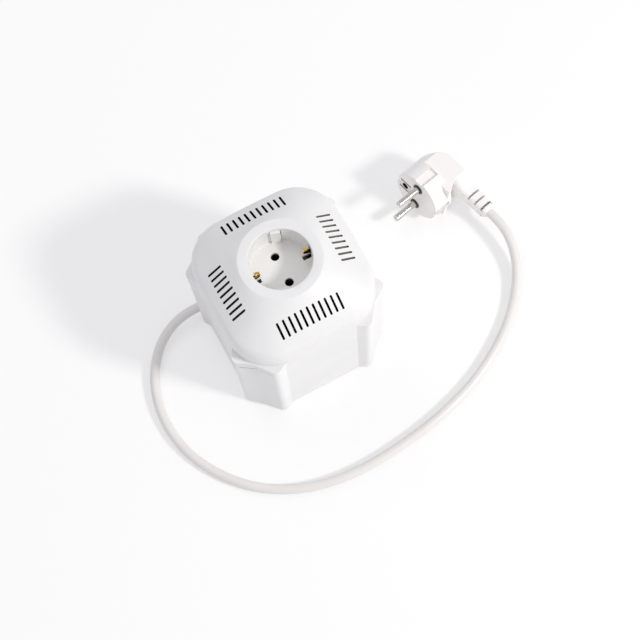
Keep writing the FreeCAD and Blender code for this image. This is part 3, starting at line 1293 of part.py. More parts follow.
def make_plug():
    place = plug_place()
    body = new_body("plug_body")
    front = new_sketch(body, "plug_front_plan", 0.0)
    draw_circle(front, 0, 0, d.plug_radius)
    pad(body, front, d.plug_front, "plug_front", downwards=True)
    back = new_sketch(body, "plug_back_plan", 0.0, "YZ_Plane")
    side = d.plug_radius - d.plug_side_inset
    shoulder, lip = d.plug_shoulder - d.plug_front, d.plug_lip - d.plug_front
    draw_polygon(back, (
        (side, shoulder), (side, d.plug_corner - d.plug_depth), (side - d.plug_corner, -d.plug_depth),
        (-d.relief_start, -d.plug_depth), (-d.relief_start, -(d.relief_depth - d.relief_radius)),
        (-side, lip), (-side, shoulder)))
    block_feature = pad(body, back, 2 * d.plug_half_thickness, "plug_back", both_sides=True)

    corners = ((side, d.plug_corner - d.plug_depth), (side - d.plug_corner, -d.plug_depth),
               (-d.relief_start, -d.plug_depth))

    def at_corner(point):
        return any(near(point.y, y.value) and near(point.z, z.value) for y, z in corners)

    round_edges(body, block_feature, at_corner, d.plug_corner_round, "plug_corners")
    trim = new_sketch(body, "plug_trim_plan", 0.0, "XZ_Plane")
    low, step, wide = -d.plug_depth, d.plug_trim, d.plug_half_thickness
    for way in (1, -1):
        draw_polygon(trim, ((way * (wide + step), low - step), (way * (wide + step), low + 2 * step),
                            (way * wide, low + 2 * step), (way * (wide - step / 2), low + step / 2),
                            (way * (wide - 2 * step), low), (way * (wide - 2 * step), low - step)))
    pocket(body, trim, 4 * d.plug_radius, "plug_trim", both_sides=True)
    notches = new_sketch(body, "plug_notch_plan", 0.0)
    for way in (1, -1):
        draw_rectangle(notches, way * (d.plug_radius - d.notch_depth), -d.notch_width / 2,
                       way * (d.plug_radius + d.notch_depth), d.notch_width / 2)
    pocket(body, notches, d.plug_front - d.notch_floor, "plug_notches")
    strips = new_sketch(body, "plug_strip_plan", 0.0)
    half_strip = d.strip_width / 2 + d.gap
    for way in (1, -1):
        draw_rectangle(strips, -half_strip, way * (d.plug_radius - d.strip_seat),
                       half_strip, way * (d.plug_radius + d.strip_seat))
    pocket(body, strips, d.plug_front - d.strip_foot, "plug_strip_grooves")
    pins = new_sketch(body, "plug_pin_plan", 0.0)
    for way in (1, -1):
        draw_circle(pins, way * pin_y, 0, d.plug_pin_radius + d.gap / 4)
    pocket(body, pins, d.plug_pin_root, "plug_pin_holes")
    collars = new_sketch(body, "plug_collar_plan", 0.0)
    for way in (1, -1):
        draw_circle(collars, way * pin_y, 0, d.collar_radius + d.gap / 2)
    pocket(body, collars, d.collar_root, "plug_collar_seats")
    plate = new_sketch(body, "plug_plate_plan", 0.0)
    half_plate = d.earth_plate / 2 + d.gap / 2
    draw_rectangle(plate, -half_plate, d.earth_hole_place - half_plate,
                   half_plate, d.earth_hole_place + half_plate)
    pocket(body, plate, d.plate_thickness + d.gap / 2, "plug_plate_seat")
    sleeve = new_sketch(body, "plug_sleeve_plan", 0.0)
    draw_circle(sleeve, 0, d.earth_hole_place, d.earth_hole + d.sleeve_wall + d.gap / 2)
    pocket(body, sleeve, d.sleeve_depth + d.gap, "plug_sleeve_seat")
    body.Placement = place

    body = new_body("plug_strain_relief")
    profile = new_sketch(body, "relief_profile", 0.0, "YZ_Plane")
    near_end, far_end = -d.relief_start, -d.relief_start - d.relief_length
    axis_z = -d.relief_depth
    draw_polygon(profile, ((near_end, axis_z), (near_end, axis_z + d.relief_radius),
                           (far_end + d.relief_tip, axis_z + d.relief_end_radius),
                           (far_end, axis_z + d.relief_end_radius - d.relief_tip / 2), (far_end, axis_z)))
    axis = profile.addGeometry(Part.LineSegment(Vector(near_end.value, axis_z.value, 0),
                                                Vector(far_end.value, axis_z.value, 0)), True)
    fix_point(profile, axis, 1, near_end, axis_z)
    fix_point(profile, axis, 2, far_end, axis_z)
    turn = body.newObject("PartDesign::Revolution", "relief_cone")
    turn.Profile = profile
    turn.ReferenceAxis = (profile, ["Axis0"])
    turn.Angle = 360.0
    for name, way in (("relief_slots_up", 1), ("relief_slots_down", -1)):
        cuts = new_sketch(body, f"{name}_plan", way * d.relief_slot_floor, "YZ_Plane")
        for index in range(int(d.relief_slots.value)):
            middle = near_end - d.relief_slot_first - d.relief_slot_pitch * index
            draw_rectangle(cuts, middle - d.relief_slot / 2, axis_z - d.relief_radius,
                           middle + d.relief_slot / 2, axis_z + d.relief_radius)
        pocket(body, cuts, d.relief_radius, name, upwards=way > 0)
    body.Placement = place

    for index, way in enumerate((1, -1), start=1):
        body = new_body(f"plug_pin_{index}")
        plan = new_sketch(body, f"plug_pin_{index}_plan", -d.plug_pin_root)
        draw_circle(plan, way * pin_y, 0, d.plug_pin_radius)
        pin = pad(body, plan, d.plug_pin_root + d.plug_pin_length, f"plug_pin_{index}_rod")
        round_edges(body, pin, lambda p: near(p.z, d.plug_pin_length.value),
                    d.pin_tip_round, f"plug_pin_{index}_tip")
        body.Placement = place

    rings = []
    for index, way in enumerate((1, -1), start=1):
        body = doc.addObject("PartDesign::Body", f"plug_collar_{index}")
        plan = new_sketch(body, f"collar_{index}_plan", -d.collar_root)
        draw_circle(plan, way * pin_y, 0, d.collar_radius)
        draw_circle(plan, way * pin_y, 0, d.plug_pin_radius + d.gap / 4)
        pad(body, plan, d.collar_root + d.collar_height, f"collar_{index}_ring")
        body.Placement = place
        rings.append(body)
    node(group("plug_collars", rings), "plug_collars")

    body = new_body("plug_earth_socket")
    plan = new_sketch(body, "earth_plate_plan", 0.0)
    half_plate = d.earth_plate / 2
    draw_rectangle(plan, -half_plate, d.earth_hole_place - half_plate,
                   half_plate, d.earth_hole_place + half_plate)
    pad(body, plan, d.plate_thickness, "earth_plate", downwards=True)
    tube = new_sketch(body, "earth_sleeve_plan", 0.0)
    draw_circle(tube, 0, d.earth_hole_place, d.earth_hole + d.sleeve_wall)
    pad(body, tube, d.sleeve_depth, "earth_sleeve", downwards=True)
    bore = new_sketch(body, "earth_bore_plan", 0.0)
    draw_circle(bore, 0, d.earth_hole_place, d.earth_hole)
    pocket(body, bore, d.sleeve_depth - d.sleeve_wall, "earth_bore")
    body.Placement = place

    strips = []
    for index, way in enumerate((1, -1), start=1):
        body = doc.addObject("PartDesign::Body", f"plug_strip_{index}")
        profile = new_sketch(body, f"plug_strip_{index}_profile", 0.0, "YZ_Plane")
        inner = d.plug_radius - d.strip_seat + d.gap / 2
        outer = inner + d.strip_thickness
        low, high = d.strip_foot + d.strip_end_gap - d.plug_front, -d.strip_end_gap
        quarter = (high - low) / 4
        draw_polygon(profile, [(way * y, z) for y, z in (
            (inner, low), (outer, low), (outer + d.strip_bow, low + quarter),
            (outer + d.strip_bow, high - quarter), (outer, high), (inner, high))])
        pad(body, profile, d.strip_width, f"plug_strip_{index}_bar", both_sides=True)
        body.Placement = place
        strips.append(body)
    node(group("plug_earth_clips", strips), "plug_earth_clips")


make_housing()
make_cover()
make_insert()
make_carrier()
make_line_contacts()
make_earth_contacts()
make_screws()
make_feet()
make_transformer()
make_board()
make_cord_exit()
make_cord()
make_plug()
doc.recompute()

faults = [thing.Name for thing in doc.Objects if "Invalid" in thing.State or "Error" in thing.State]
for thing in nodes:
    if thing.Shape.isNull() or not thing.Shape.isValid() or not thing.Shape.Solids:
        faults.append(thing.Label)
if faults:
    raise RuntimeError(f"failed: {faults}")

os.makedirs("parts", exist_ok=True)
for thing in nodes:
    thing.Shape.exportStep(f"parts/{thing.Label}.step")
print(len(nodes), "nodes")
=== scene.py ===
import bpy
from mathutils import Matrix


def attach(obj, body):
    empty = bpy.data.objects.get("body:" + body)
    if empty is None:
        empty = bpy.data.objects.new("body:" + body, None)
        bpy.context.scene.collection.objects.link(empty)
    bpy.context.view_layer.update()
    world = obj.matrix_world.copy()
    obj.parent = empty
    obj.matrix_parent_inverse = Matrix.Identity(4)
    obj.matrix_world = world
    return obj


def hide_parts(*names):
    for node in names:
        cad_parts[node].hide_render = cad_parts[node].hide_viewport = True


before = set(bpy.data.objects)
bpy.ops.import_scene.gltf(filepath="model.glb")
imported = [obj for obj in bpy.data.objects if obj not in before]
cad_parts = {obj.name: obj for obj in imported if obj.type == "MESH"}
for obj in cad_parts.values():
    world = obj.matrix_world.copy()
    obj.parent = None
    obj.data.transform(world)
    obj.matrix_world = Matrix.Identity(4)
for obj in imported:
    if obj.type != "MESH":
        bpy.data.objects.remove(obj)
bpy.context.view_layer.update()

import math

import bmesh
import bpy
from mathutils import Matrix, Vector

# The studio: a long lens in front and a little to the left, looking steeply down. A
# soft lamp stands at the right front and a weak one behind, pale walls fill in the
# rest, and the object stands on seamless white paper.
camera = bpy.data.objects.new("studio_camera", bpy.data.cameras.new("studio_camera"))
bpy.context.scene.collection.objects.link(camera)
camera.data.sensor_width = 36.0
camera.data.lens = 92.64
camera.data.clip_start = 0.05
camera.data.clip_end = 20.0
camera_right = Vector((0.8808, -0.4714, -0.0441)).normalized()
camera_up = Vector((0.4576, 0.8236, 0.3351)).normalized()
camera_back = camera_right.cross(camera_up).normalized()
camera_up = camera_back.cross(camera_right)
camera_axes = Matrix((camera_right, camera_up, camera_back)).transposed().to_4x4()
camera_place = Vector((-0.11663, -0.35508, 1.04064))
camera.matrix_world = Matrix.Translation(camera_place) @ camera_axes
bpy.context.scene.camera = camera
bpy.context.scene.view_settings.view_transform = "Standard"


def studio_lamp(name, place, size, power, colour):
    """A square soft lamp that looks at the middle of the tower."""
    lamp = bpy.data.lights.new(name, "AREA")
    lamp.shape = "SQUARE"
    lamp.size = size
    lamp.energy = power
    lamp.color = colour
    stand = bpy.data.objects.new(name, lamp)
    bpy.context.scene.collection.objects.link(stand)
    aim = Vector(place) - tower_middle
    stand.matrix_world = Matrix.Translation(place) @ aim.to_track_quat("Z", "Y").to_matrix().to_4x4()


tower_middle = Vector((0.0, 0.0, 0.06))
studio_lamp("key_softbox", (1.368, -1.526, 1.662), size=0.34, power=35.0, colour=(1.0, 0.975, 0.94))
studio_lamp("back_softbox", (-0.18, 0.90, 1.55), size=1.0, power=3.6, colour=(0.99, 0.985, 1.0))

room = bpy.data.worlds.new("studio_room")
bpy.context.scene.world = room
room.use_nodes = True
room.node_tree.nodes["Background"].inputs["Color"].default_value = (0.955, 0.955, 1.0, 1.0)
room.node_tree.nodes["Background"].inputs["Strength"].default_value = 0.622

paper_reach = 4.0
paper_corners = [(x * paper_reach, y * paper_reach, 0.0) for x, y in ((-1, -1), (1, -1), (1, 1), (-1, 1))]
paper_mesh = bpy.data.meshes.new("studio_paper")
paper_mesh.from_pydata(paper_corners, [], [(0, 1, 2, 3)])
paper = bpy.data.objects.new("studio_paper", paper_mesh)
bpy.context.scene.collection.objects.link(paper)
paper_finish = bpy.data.materials.new("seamless_white_paper")
paper_finish.use_nodes = True
paper_nodes, paper_links = paper_finish.node_tree.nodes, paper_finish.node_tree.links
paper_nodes.clear()
paper_out = paper_nodes.new("ShaderNodeOutputMaterial")
paper_mix = paper_nodes.new("ShaderNodeMixShader")
paper_matt = paper_nodes.new("ShaderNodeBsdfDiffuse")
paper_matt.inputs["Color"].default_value = (0.97, 0.97, 0.97, 1.0)
paper_glow = paper_nodes.new("ShaderNodeEmission")
paper_glow.inputs["Color"].default_value = (1.0, 1.0, 1.0, 1.0)
paper_glow.inputs["Strength"].default_value = 1.0
paper_rays = paper_nodes.new("ShaderNodeLightPath")
glow_share = 0.42


def paper_step(operation, first, second):
    """A step of arithmetic in the paper's material; the second value is a socket or a plain number."""
    step = paper_nodes.new("ShaderNodeMath")
    step.operation = operation
    paper_links.new(first, step.inputs[0])
    if isinstance(second, float):
        step.inputs[1].default_value = second
    else:
        paper_links.new(second, step.inputs[1])
    return step.outputs[0]


paper_seen = paper_step("MAXIMUM", paper_rays.outputs["Is Camera Ray"], paper_rays.outputs["Is Glossy Ray"])
paper_seen = paper_step("MAXIMUM", paper_seen, paper_rays.outputs["Is Transmission Ray"])
paper_links.new(paper_step("MULTIPLY", paper_seen, glow_share), paper_mix.inputs["Fac"])
paper_links.new(paper_matt.outputs[0], paper_mix.inputs[1])
paper_links.new(paper_glow.outputs[0], paper_mix.inputs[2])
paper_links.new(paper_mix.outputs[0], paper_out.inputs["Surface"])
paper_mesh.materials.append(paper_finish)

# The mains lead: a round white sheath, 6.4 mm across, that leaves the back left
# corner low down, runs round the front of the tower on the table and rises a little
# to the angled plug that lies on its side. It is one piece from end to end.
lead_route = (
    (-0.0495, 0.0380, 0.0100), (-0.0585, 0.0380, 0.0100), (-0.0690, 0.0365, 0.0080),
    (-0.0800, 0.0315, 0.0060), (-0.0890, 0.0235, 0.0045), (-0.0965, 0.0130, 0.0037),
    (-0.1020, 0.0000, 0.0033), (-0.1050, -0.0145, 0.0033), (-0.1050, -0.0305, 0.0033),
    (-0.1015, -0.0470, 0.0033), (-0.0940, -0.0635, 0.0033), (-0.0830, -0.0790, 0.0033),
    (-0.0685, -0.0925, 0.0033), (-0.0510, -0.1025, 0.0033), (-0.0320, -0.1085, 0.0033),
    (-0.0125, -0.1110, 0.0033), (0.0075, -0.1110, 0.0033), (0.0275, -0.1090, 0.0033),
    (0.0475, -0.1060, 0.0033), (0.0670, -0.1010, 0.0033), (0.0850, -0.0950, 0.0033),
    (0.1010, -0.0870, 0.0033), (0.1155, -0.0780, 0.0033), (0.1285, -0.0678, 0.0033),
    (0.1393, -0.0563, 0.0036), (0.1473, -0.0453, 0.0052), (0.1523, -0.0350, 0.0080),
    (0.1549, -0.0250, 0.0116), (0.1553, -0.0155, 0.0148), (0.1540, -0.0068, 0.0162),
    (0.1519, 0.0010, 0.0162),
)
lead_thickness = 0.0064
lead_curve = bpy.data.curves.new("mains_lead", "CURVE")
lead_curve.dimensions = "3D"
lead_line = lead_curve.splines.new("NURBS")
lead_line.points.add(len(lead_route) - 1)
for point, place in zip(lead_line.points, lead_route):
    point.co = (*place, 1.0)
lead_line.order_u = 3
lead_line.use_endpoint_u = True
lead_line.resolution_u = 10
lead_curve.bevel_depth = lead_thickness / 2.0
lead_curve.bevel_resolution = 7
lead_curve.use_fill_caps = True
lead = bpy.data.objects.new("mains_lead", lead_curve)
bpy.context.scene.collection.objects.link(lead)


def new_finish(name):
    """An empty material with a principled shader and object coordinates."""
    finish = bpy.data.materials.new(name)
    finish.use_nodes = True
    nodes = finish.node_tree.nodes
    shader = nodes["Principled BSDF"]
    place = nodes.new("ShaderNodeTexCoord")
    return finish, nodes, finish.node_tree.links, shader, place.outputs["Object"]


def speckle(nodes, links, place, scale, detail=3.0, stretch=None):
    """Noise over the piece; stretch scales it by axis, so that it becomes lines."""
    if stretch:
        mapping = nodes.new("ShaderNodeMapping")
        mapping.inputs["Scale"].default_value = stretch
        links.new(place, mapping.inputs["Vector"])
        place = mapping.outputs["Vector"]
    noise = nodes.new("ShaderNodeTexNoise")
    noise.inputs["Scale"].default_value = scale
    noise.inputs["Detail"].default_value = detail
    links.new(place, noise.inputs["Vector"])
    return noise.outputs["Fac"]


def between(nodes, links, factor, low, high):
    """A number that runs from low to high over the middle half of a factor."""
    spread = nodes.new("ShaderNodeMapRange")
    spread.inputs["From Min"].default_value = 0.25
    spread.inputs["From Max"].default_value = 0.75
    spread.inputs["To Min"].default_value = low
    spread.inputs["To Max"].default_value = high
    links.new(factor, spread.inputs["Value"])
    return spread.outputs["Result"]


def shades(nodes, links, factor, dark, light):
    """A colour between two shades of one finish."""
    ramp = nodes.new("ShaderNodeValToRGB")
    ramp.color_ramp.elements[0].position = 0.3
    ramp.color_ramp.elements[0].color = (*dark, 1.0)
    ramp.color_ramp.elements[1].position = 0.7
    ramp.color_ramp.elements[1].color = (*light, 1.0)
    links.new(factor, ramp.inputs["Fac"])
    return ramp.outputs["Color"]


def grained(nodes, links, shader, height, depth, strength=1.0, under=None):
    """Bump from a height, with its depth in metres, on top of another bump if there is one."""
    bump = nodes.new("ShaderNodeBump")
    bump.inputs["Strength"].default_value = strength
    bump.inputs["Distance"].default_value = depth
    links.new(height, bump.inputs["Height"])
    if under is not None:
        links.new(under, bump.inputs["Normal"])
    links.new(bump.outputs["Normal"], shader.inputs["Normal"])
    return bump.outputs["Normal"]


def moulded(name, dark, light, smooth, rough, grain=5200.0, depth=0.000012):
    """Moulded plastic or rubber: a faint drift of shade, an uneven gloss, shallow waves and a fine grain."""
    finish, nodes, links, shader, place = new_finish(name)
    drift = speckle(nodes, links, place, scale=38.0)
    links.new(shades(nodes, links, drift, dark, light), shader.inputs["Base Color"])
    polish = speckle(nodes, links, place, scale=240.0)
    links.new(between(nodes, links, polish, smooth, rough), shader.inputs["Roughness"])
    waves = speckle(nodes, links, place, scale=85.0, detail=1.0)
    wavy = grained(nodes, links, shader, waves, depth * 6.0, strength=0.6)
    pores = speckle(nodes, links, place, grain, detail=2.0)
    grained(nodes, links, shader, pores, depth, under=wavy)
    return finish


lead_sheath = moulded("white_lead_sheath", (0.770, 0.752, 0.728), (0.810, 0.792, 0.768), 0.30, 0.42,
                      grain=900.0, depth=0.000006)
lead_curve.materials.append(lead_sheath)
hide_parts("mains_cord")
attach(lead, "stabilizer")

# The housing: an injection-moulded white tub with a slim pillar at each corner, four
# screw bosses up the inside and air slots in the floor. It drafts in a little
# towards the base, and its outside has a fine matt grain.
crease = math.radians(28.0)


def softened(node, name, finish, edge=0.00025, body="stabilizer"):
    """A copy of a solid, merged and shaded smooth, with its edges rounded off if edge isn't 0."""
    form = bmesh.new()
    form.from_mesh(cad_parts[node].data)
    same_point = 0.000002
    flat_enough = math.radians(0.4)
    bmesh.ops.remove_doubles(form, verts=form.verts, dist=same_point)
    bmesh.ops.dissolve_limit(form, angle_limit=flat_enough, verts=form.verts, edges=form.edges)
    mesh = bpy.data.meshes.new(name)
    form.to_mesh(mesh)
    form.free()
    for layer in ("custom_normal", "sharp_edge", "sharp_face"):
        if layer in mesh.attributes:
            mesh.attributes.remove(mesh.attributes[layer])
    mesh.materials.clear()
    mesh.materials.append(finish)
    mesh.shade_smooth()
    mesh.set_sharp_from_angle(angle=crease)
    piece = bpy.data.objects.new(name, mesh)
    bpy.context.scene.collection.objects.link(piece)
    if edge:
        round_off = piece.modifiers.new("edge", "BEVEL")
        round_off.width = edge
        round_off.segments = 2
        round_off.limit_method = "ANGLE"
        round_off.angle_limit = math.radians(40.0)
        round_off.harden_normals = False
    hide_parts(node)
    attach(piece, body)
    return piece


def cut_across(form, place, way, clear=False):
    """Cuts a form along a plane and gives the new edges; clear takes off what lies beyond the plane."""
    whole_form = form.verts[:] + form.edges[:] + form.faces[:]
    cut = bmesh.ops.bisect_plane(form, geom=whole_form, dist=0.00001, plane_co=place, plane_no=way,
                                 clear_outer=clear)
    return [item for item in cut["geom_cut"] if isinstance(item, bmesh.types.BMEdge)]


white_shell = moulded("matt_white_shell", (0.812, 0.810, 0.808), (0.838, 0.836, 0.833), 0.42, 0.55,
                      depth=0.000010)
tub = softened("housing", "tower_housing", white_shell)

# At each corner a narrow gap opens between the housing's rim and the cover's flange.
# Hardly any light gets in, so the rim is cut across the corner, square to its
# diagonal, and is dark beyond the cut.
gap_start = 0.0576
rim_height = 0.0758
gap_shade = moulded("corner_gap_in_shade", (0.040, 0.040, 0.041), (0.060, 0.060, 0.061), 0.6, 0.8)
tub.data.materials.append(gap_shade)
rim = bmesh.new()
rim.from_mesh(tub.data)
for corner in ((1, 1, 0), (1, -1, 0), (-1, 1, 0), (-1, -1, 0)):
    outward = Vector(corner).normalized()
    cut_across(rim, outward * gap_start, outward)
for face in rim.faces:
    x, y, z = face.calc_center_median()
    along_diagonal = (abs(x) + abs(y)) * math.sqrt(0.5)
    if z > rim_height and face.normal.z > 0.9 and along_diagonal > gap_start + 0.0001:
        face.material_index = 1
rim.to_mesh(tub.data)
rim.free()

# The feet: four round pads of grey rubber, glued into shallow recesses under the
# floor of the housing. They lift it a little and keep it from sliding.
foot_rubber = moulded("grey_foot_rubber", (0.045, 0.045, 0.047), (0.07, 0.07, 0.072), 0.6, 0.8,
                      grain=2600.0, depth=0.00003)
softened("feet", "rubber_feet", foot_rubber)

# The transformer: a stack of varnished steel sheets round a black bobbin, wound with
# wire under yellow tape, and strapped down by a plated band with two screws.


def dress(node, finish):
    """Gives a solid its finish and leaves its shape alone."""
    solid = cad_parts[node]
    solid.data.materials.clear()
    solid.data.materials.append(finish)


def worked_metal(name, dark, light, smooth, rough, stretch):
    """Bare or plated metal with the fine lines of rolling, turning or drawing."""
    finish, nodes, links, shader, place = new_finish(name)
    lines = speckle(nodes, links, place, scale=420.0, detail=4.0, stretch=stretch)
    links.new(shades(nodes, links, lines, dark, light), shader.inputs["Base Color"])
    links.new(between(nodes, links, lines, smooth, rough), shader.inputs["Roughness"])
    grained(nodes, links, shader, lines, depth=0.000006)
    shader.inputs["Metallic"].default_value = 1.0
    return finish


def bands(nodes, links, place, way, scale, waver):
    """Parallel bands across one axis of a piece."""
    wave = nodes.new("ShaderNodeTexWave")
    wave.wave_type = "BANDS"
    wave.bands_direction = way
    wave.inputs["Scale"].default_value = scale
    wave.inputs["Distortion"].default_value = waver
    links.new(place, wave.inputs["Vector"])
    return wave.outputs["Fac"]


sheet_stack, nodes, links, shader, place = new_finish("varnished_sheet_stack")
sheets = bands(nodes, links, place, "Y", scale=320.0, waver=0.4)
sheet_shades = shades(nodes, links, sheets, (0.05, 0.05, 0.055), (0.17, 0.175, 0.19))
links.new(sheet_shades, shader.inputs["Base Color"])
varnish = speckle(nodes, links, place, scale=180.0)
links.new(between(nodes, links, varnish, 0.35, 0.6), shader.inputs["Roughness"])
grained(nodes, links, shader, sheets, depth=0.00004)
shader.inputs["Metallic"].default_value = 0.7
dress("transformer_core", sheet_stack)

black_moulding_and_painted_slot_shade = moulded("black_moulding_and_painted_slot_shade", (0.018, 0.018, 0.019), (0.03, 0.03, 0.031), 0.4, 0.55)
dress("bobbin", black_moulding_and_painted_slot_shade)

winding_tape, nodes, links, shader, place = new_finish("yellow_winding_tape")
laps = bands(nodes, links, place, "Z", scale=34.0, waver=1.2)
lap_shades = shades(nodes, links, laps, (0.52, 0.30, 0.04), (0.66, 0.41, 0.07))
links.new(lap_shades, shader.inputs["Base Color"])
tape_gloss = speckle(nodes, links, place, scale=300.0)
links.new(between(nodes, links, tape_gloss, 0.25, 0.45), shader.inputs["Roughness"])
grained(nodes, links, shader, laps, depth=0.0001)
dress("winding", winding_tape)

band_steel = worked_metal("plated_band_steel", (0.42, 0.42, 0.42), (0.56, 0.56, 0.56), 0.28, 0.42,
                          stretch=(1.0, 14.0, 1.0))
dress("transformer_band", band_steel)
screw_steel = worked_metal("plated_screw_steel", (0.45, 0.46, 0.47), (0.60, 0.61, 0.62), 0.22, 0.38,
                           stretch=(9.0, 9.0, 1.0))
dress("transformer_screws", screw_steel)

# The relay board: green laminate with three blue relays, a filter capacitor, the
# control chip, a screw terminal and a glass fuse in two clips. Four screws hold it
# to bosses on the back wall.
board_green, nodes, links, shader, place = new_finish("green_board_laminate")
tracks = nodes.new("ShaderNodeTexVoronoi")
tracks.feature = "DISTANCE_TO_EDGE"
tracks.distance = "MANHATTAN"
tracks.inputs["Scale"].default_value = 210.0
links.new(place, tracks.inputs["Vector"])
track_shades = shades(nodes, links, tracks.outputs["Distance"], (0.012, 0.075, 0.030), (0.020, 0.110, 0.045))
links.new(track_shades, shader.inputs["Base Color"])
solder_mask = speckle(nodes, links, place, scale=500.0)
links.new(between(nodes, links, solder_mask, 0.25, 0.4), shader.inputs["Roughness"])
grained(nodes, links, shader, tracks.outputs["Distance"], depth=0.00004)
dress("circuit_board", board_green)
relay_blue = moulded("blue_relay_case", (0.012, 0.065, 0.30), (0.018, 0.085, 0.36), 0.22, 0.34)
for relay in ("relay_1", "relay_2", "relay_3"):
    dress(relay, relay_blue)
capacitor_sleeve = moulded("dark_capacitor_sleeve", (0.008, 0.009, 0.014), (0.016, 0.018, 0.026), 0.18, 0.3,
                           grain=700.0)
dress("filter_capacitor", capacitor_sleeve)
dress("control_chip", moulded("chip_resin", (0.010, 0.010, 0.011), (0.018, 0.018, 0.019), 0.5, 0.65))
dress("terminal_block", moulded("green_terminal", (0.02, 0.14, 0.04), (0.03, 0.18, 0.05), 0.35, 0.5))
fuse_glass, nodes, links, shader, place = new_finish("fuse_glass")
shader.inputs["Transmission Weight"].default_value = 0.9
shader.inputs["IOR"].default_value = 1.47
glass_tint = speckle(nodes, links, place, scale=120.0)
glass_shades = shades(nodes, links, glass_tint, (0.86, 0.92, 0.93), (0.93, 0.96, 0.97))
links.new(glass_shades, shader.inputs["Base Color"])
glass_polish = speckle(nodes, links, place, scale=400.0)
links.new(between(nodes, links, glass_polish, 0.02, 0.08), shader.inputs["Roughness"])
dress("fuse", fuse_glass)
spring_nickel = worked_metal("nickel_spring_metal", (0.60, 0.57, 0.50), (0.74, 0.71, 0.64), 0.20, 0.34,
                             stretch=(1.0, 1.0, 10.0))
dress("fuse_clips", spring_nickel)
dress("board_screws", screw_steel)

# The lead's way in: a tapered white bush that snaps into the back left wall, the
# last length of the lead inside, and a black clip screwed down over it, which takes
# the pull off the wires.
soft_white = moulded("soft_white_lead_parts", (0.80, 0.80, 0.80), (0.84, 0.84, 0.84), 0.32, 0.45,
                     grain=1400.0, depth=0.000008)
softened("cord_bush", "lead_bush", soft_white, edge=0.0002)
dress("cord_lead_in", soft_white)
dress("cord_clip", black_moulding_and_painted_slot_shade)
dress("clip_screw", screw_steel)

# The socket: a grey contact carrier with two slit brass sleeves for the pins, two
# sprung earth contacts on a bridge strip, and the warm white cup over them, all
# held up under the cover by screws. The sleeves keep a brass hue but are painted
# very dark, as painted shade deep in the pin holes.
carrier_resin = moulded("dark_carrier_resin", (0.035, 0.033, 0.031), (0.055, 0.052, 0.05), 0.5, 0.62)
dress("contact_carrier", carrier_resin)
# painted shade: the pin sleeves' brass is darkened nearly to black so that the pin holes look shaded
brass_darkened_as_painted_shade = worked_metal("contact_brass_darkened_as_painted_shade", (0.075, 0.050, 0.022), (0.120, 0.080, 0.035), 0.42, 0.58,
                          stretch=(1.0, 1.0, 8.0))
dress("line_contact", brass_darkened_as_painted_shade)
dress("neutral_contact", brass_darkened_as_painted_shade)
dress("earth_bridge", spring_nickel)
polished_brass = worked_metal("polished_spring_brass", (0.72, 0.47, 0.15), (0.86, 0.60, 0.24), 0.16, 0.28,
                              stretch=(1.0, 1.0, 8.0))
for side in ("right", "left"):
    softened(f"earth_contact_{side}", f"{side}_earth_leaf", polished_brass, edge=0.0004,
             body=f"{side}_earth_spring")
dress("socket_screws", screw_steel)
warm_cup = moulded("warm_white_cup", (0.845, 0.842, 0.825), (0.868, 0.864, 0.848), 0.26, 0.38,
                   grain=2600.0, depth=0.000005)
softened("socket_insert", "socket_cup", warm_cup, edge=0.0002)

# The cover: one white moulding. A flange caps the four pillars, a straight wall
# rises from it into four sloping facets with rounded shoulders, and a flat round
# crown carries the socket's mouth. Rows of narrow air slots cross the facets.
cover = softened("top_cover", "domed_cover", white_shell, edge=0.0)
cover_inside = moulded("cover_inside_in_shade", (0.030, 0.030, 0.031), (0.045, 0.045, 0.046), 0.6, 0.8)
lit_walls = moulded("lit_slot_walls", (0.33, 0.31, 0.29), (0.38, 0.36, 0.34), 0.6, 0.8)
cover.data.materials.append(cover_inside)
cover.data.materials.append(lit_walls)

# The slots are narrow, with slanted corners. Hardly any light reaches their walls or
# the cover's inside; only the right row's long walls catch the lamp. Each slot grows
# a little at both ends, down and up the facet, and outside the right row in width.
inside_from = 0.079
slots_low = 0.098
slots_from, slots_middle, slots_to = 0.0330, 0.0376, 0.0422
row_half = 0.0225
right_row_from = 0.030
mouth_wall = 0.0215
facet_slope = 0.82
end_growth = 0.00062
side_growth = 0.00005
wider, longer = {}, {}
for face in cover.data.polygons:
    x, y, z = face.center
    row_way = 1 if abs(y) > abs(x) else 0
    along, across = abs(face.center[1 - row_way]), abs(face.center[row_way])
    upright = abs(face.normal.z) < 0.05
    slot_wall = z > slots_low and slots_from < across < slots_to and along < row_half and upright
    long_wall = slot_wall and abs(face.normal[1 - row_way]) > 0.8
    inward = Vector((x, y)).dot(face.normal.xy) < -0.0005 and math.hypot(x, y) > mouth_wall
    underside = z > inside_from and (face.normal.z < -0.2 or inward)
    if slot_wall and not long_wall:
        outwards = 1.0 if across > slots_middle else -1.0
        down_the_facet = Vector((0.0, 0.0, -facet_slope * outwards))
        down_the_facet[row_way] = outwards * math.copysign(1.0, face.center[row_way])
        longer.update((index, down_the_facet * end_growth) for index in face.vertices)
    if long_wall and x > right_row_from:
        face.material_index = 2
    elif slot_wall or underside:
        face.material_index = 1
        if long_wall:
            wider.update((index, face.normal * -side_growth) for index in face.vertices)
for shifts in (wider, longer):
    for index, shift in shifts.items():
        cover.data.vertices[index].co += shift
dress("cover_screws", screw_steel)

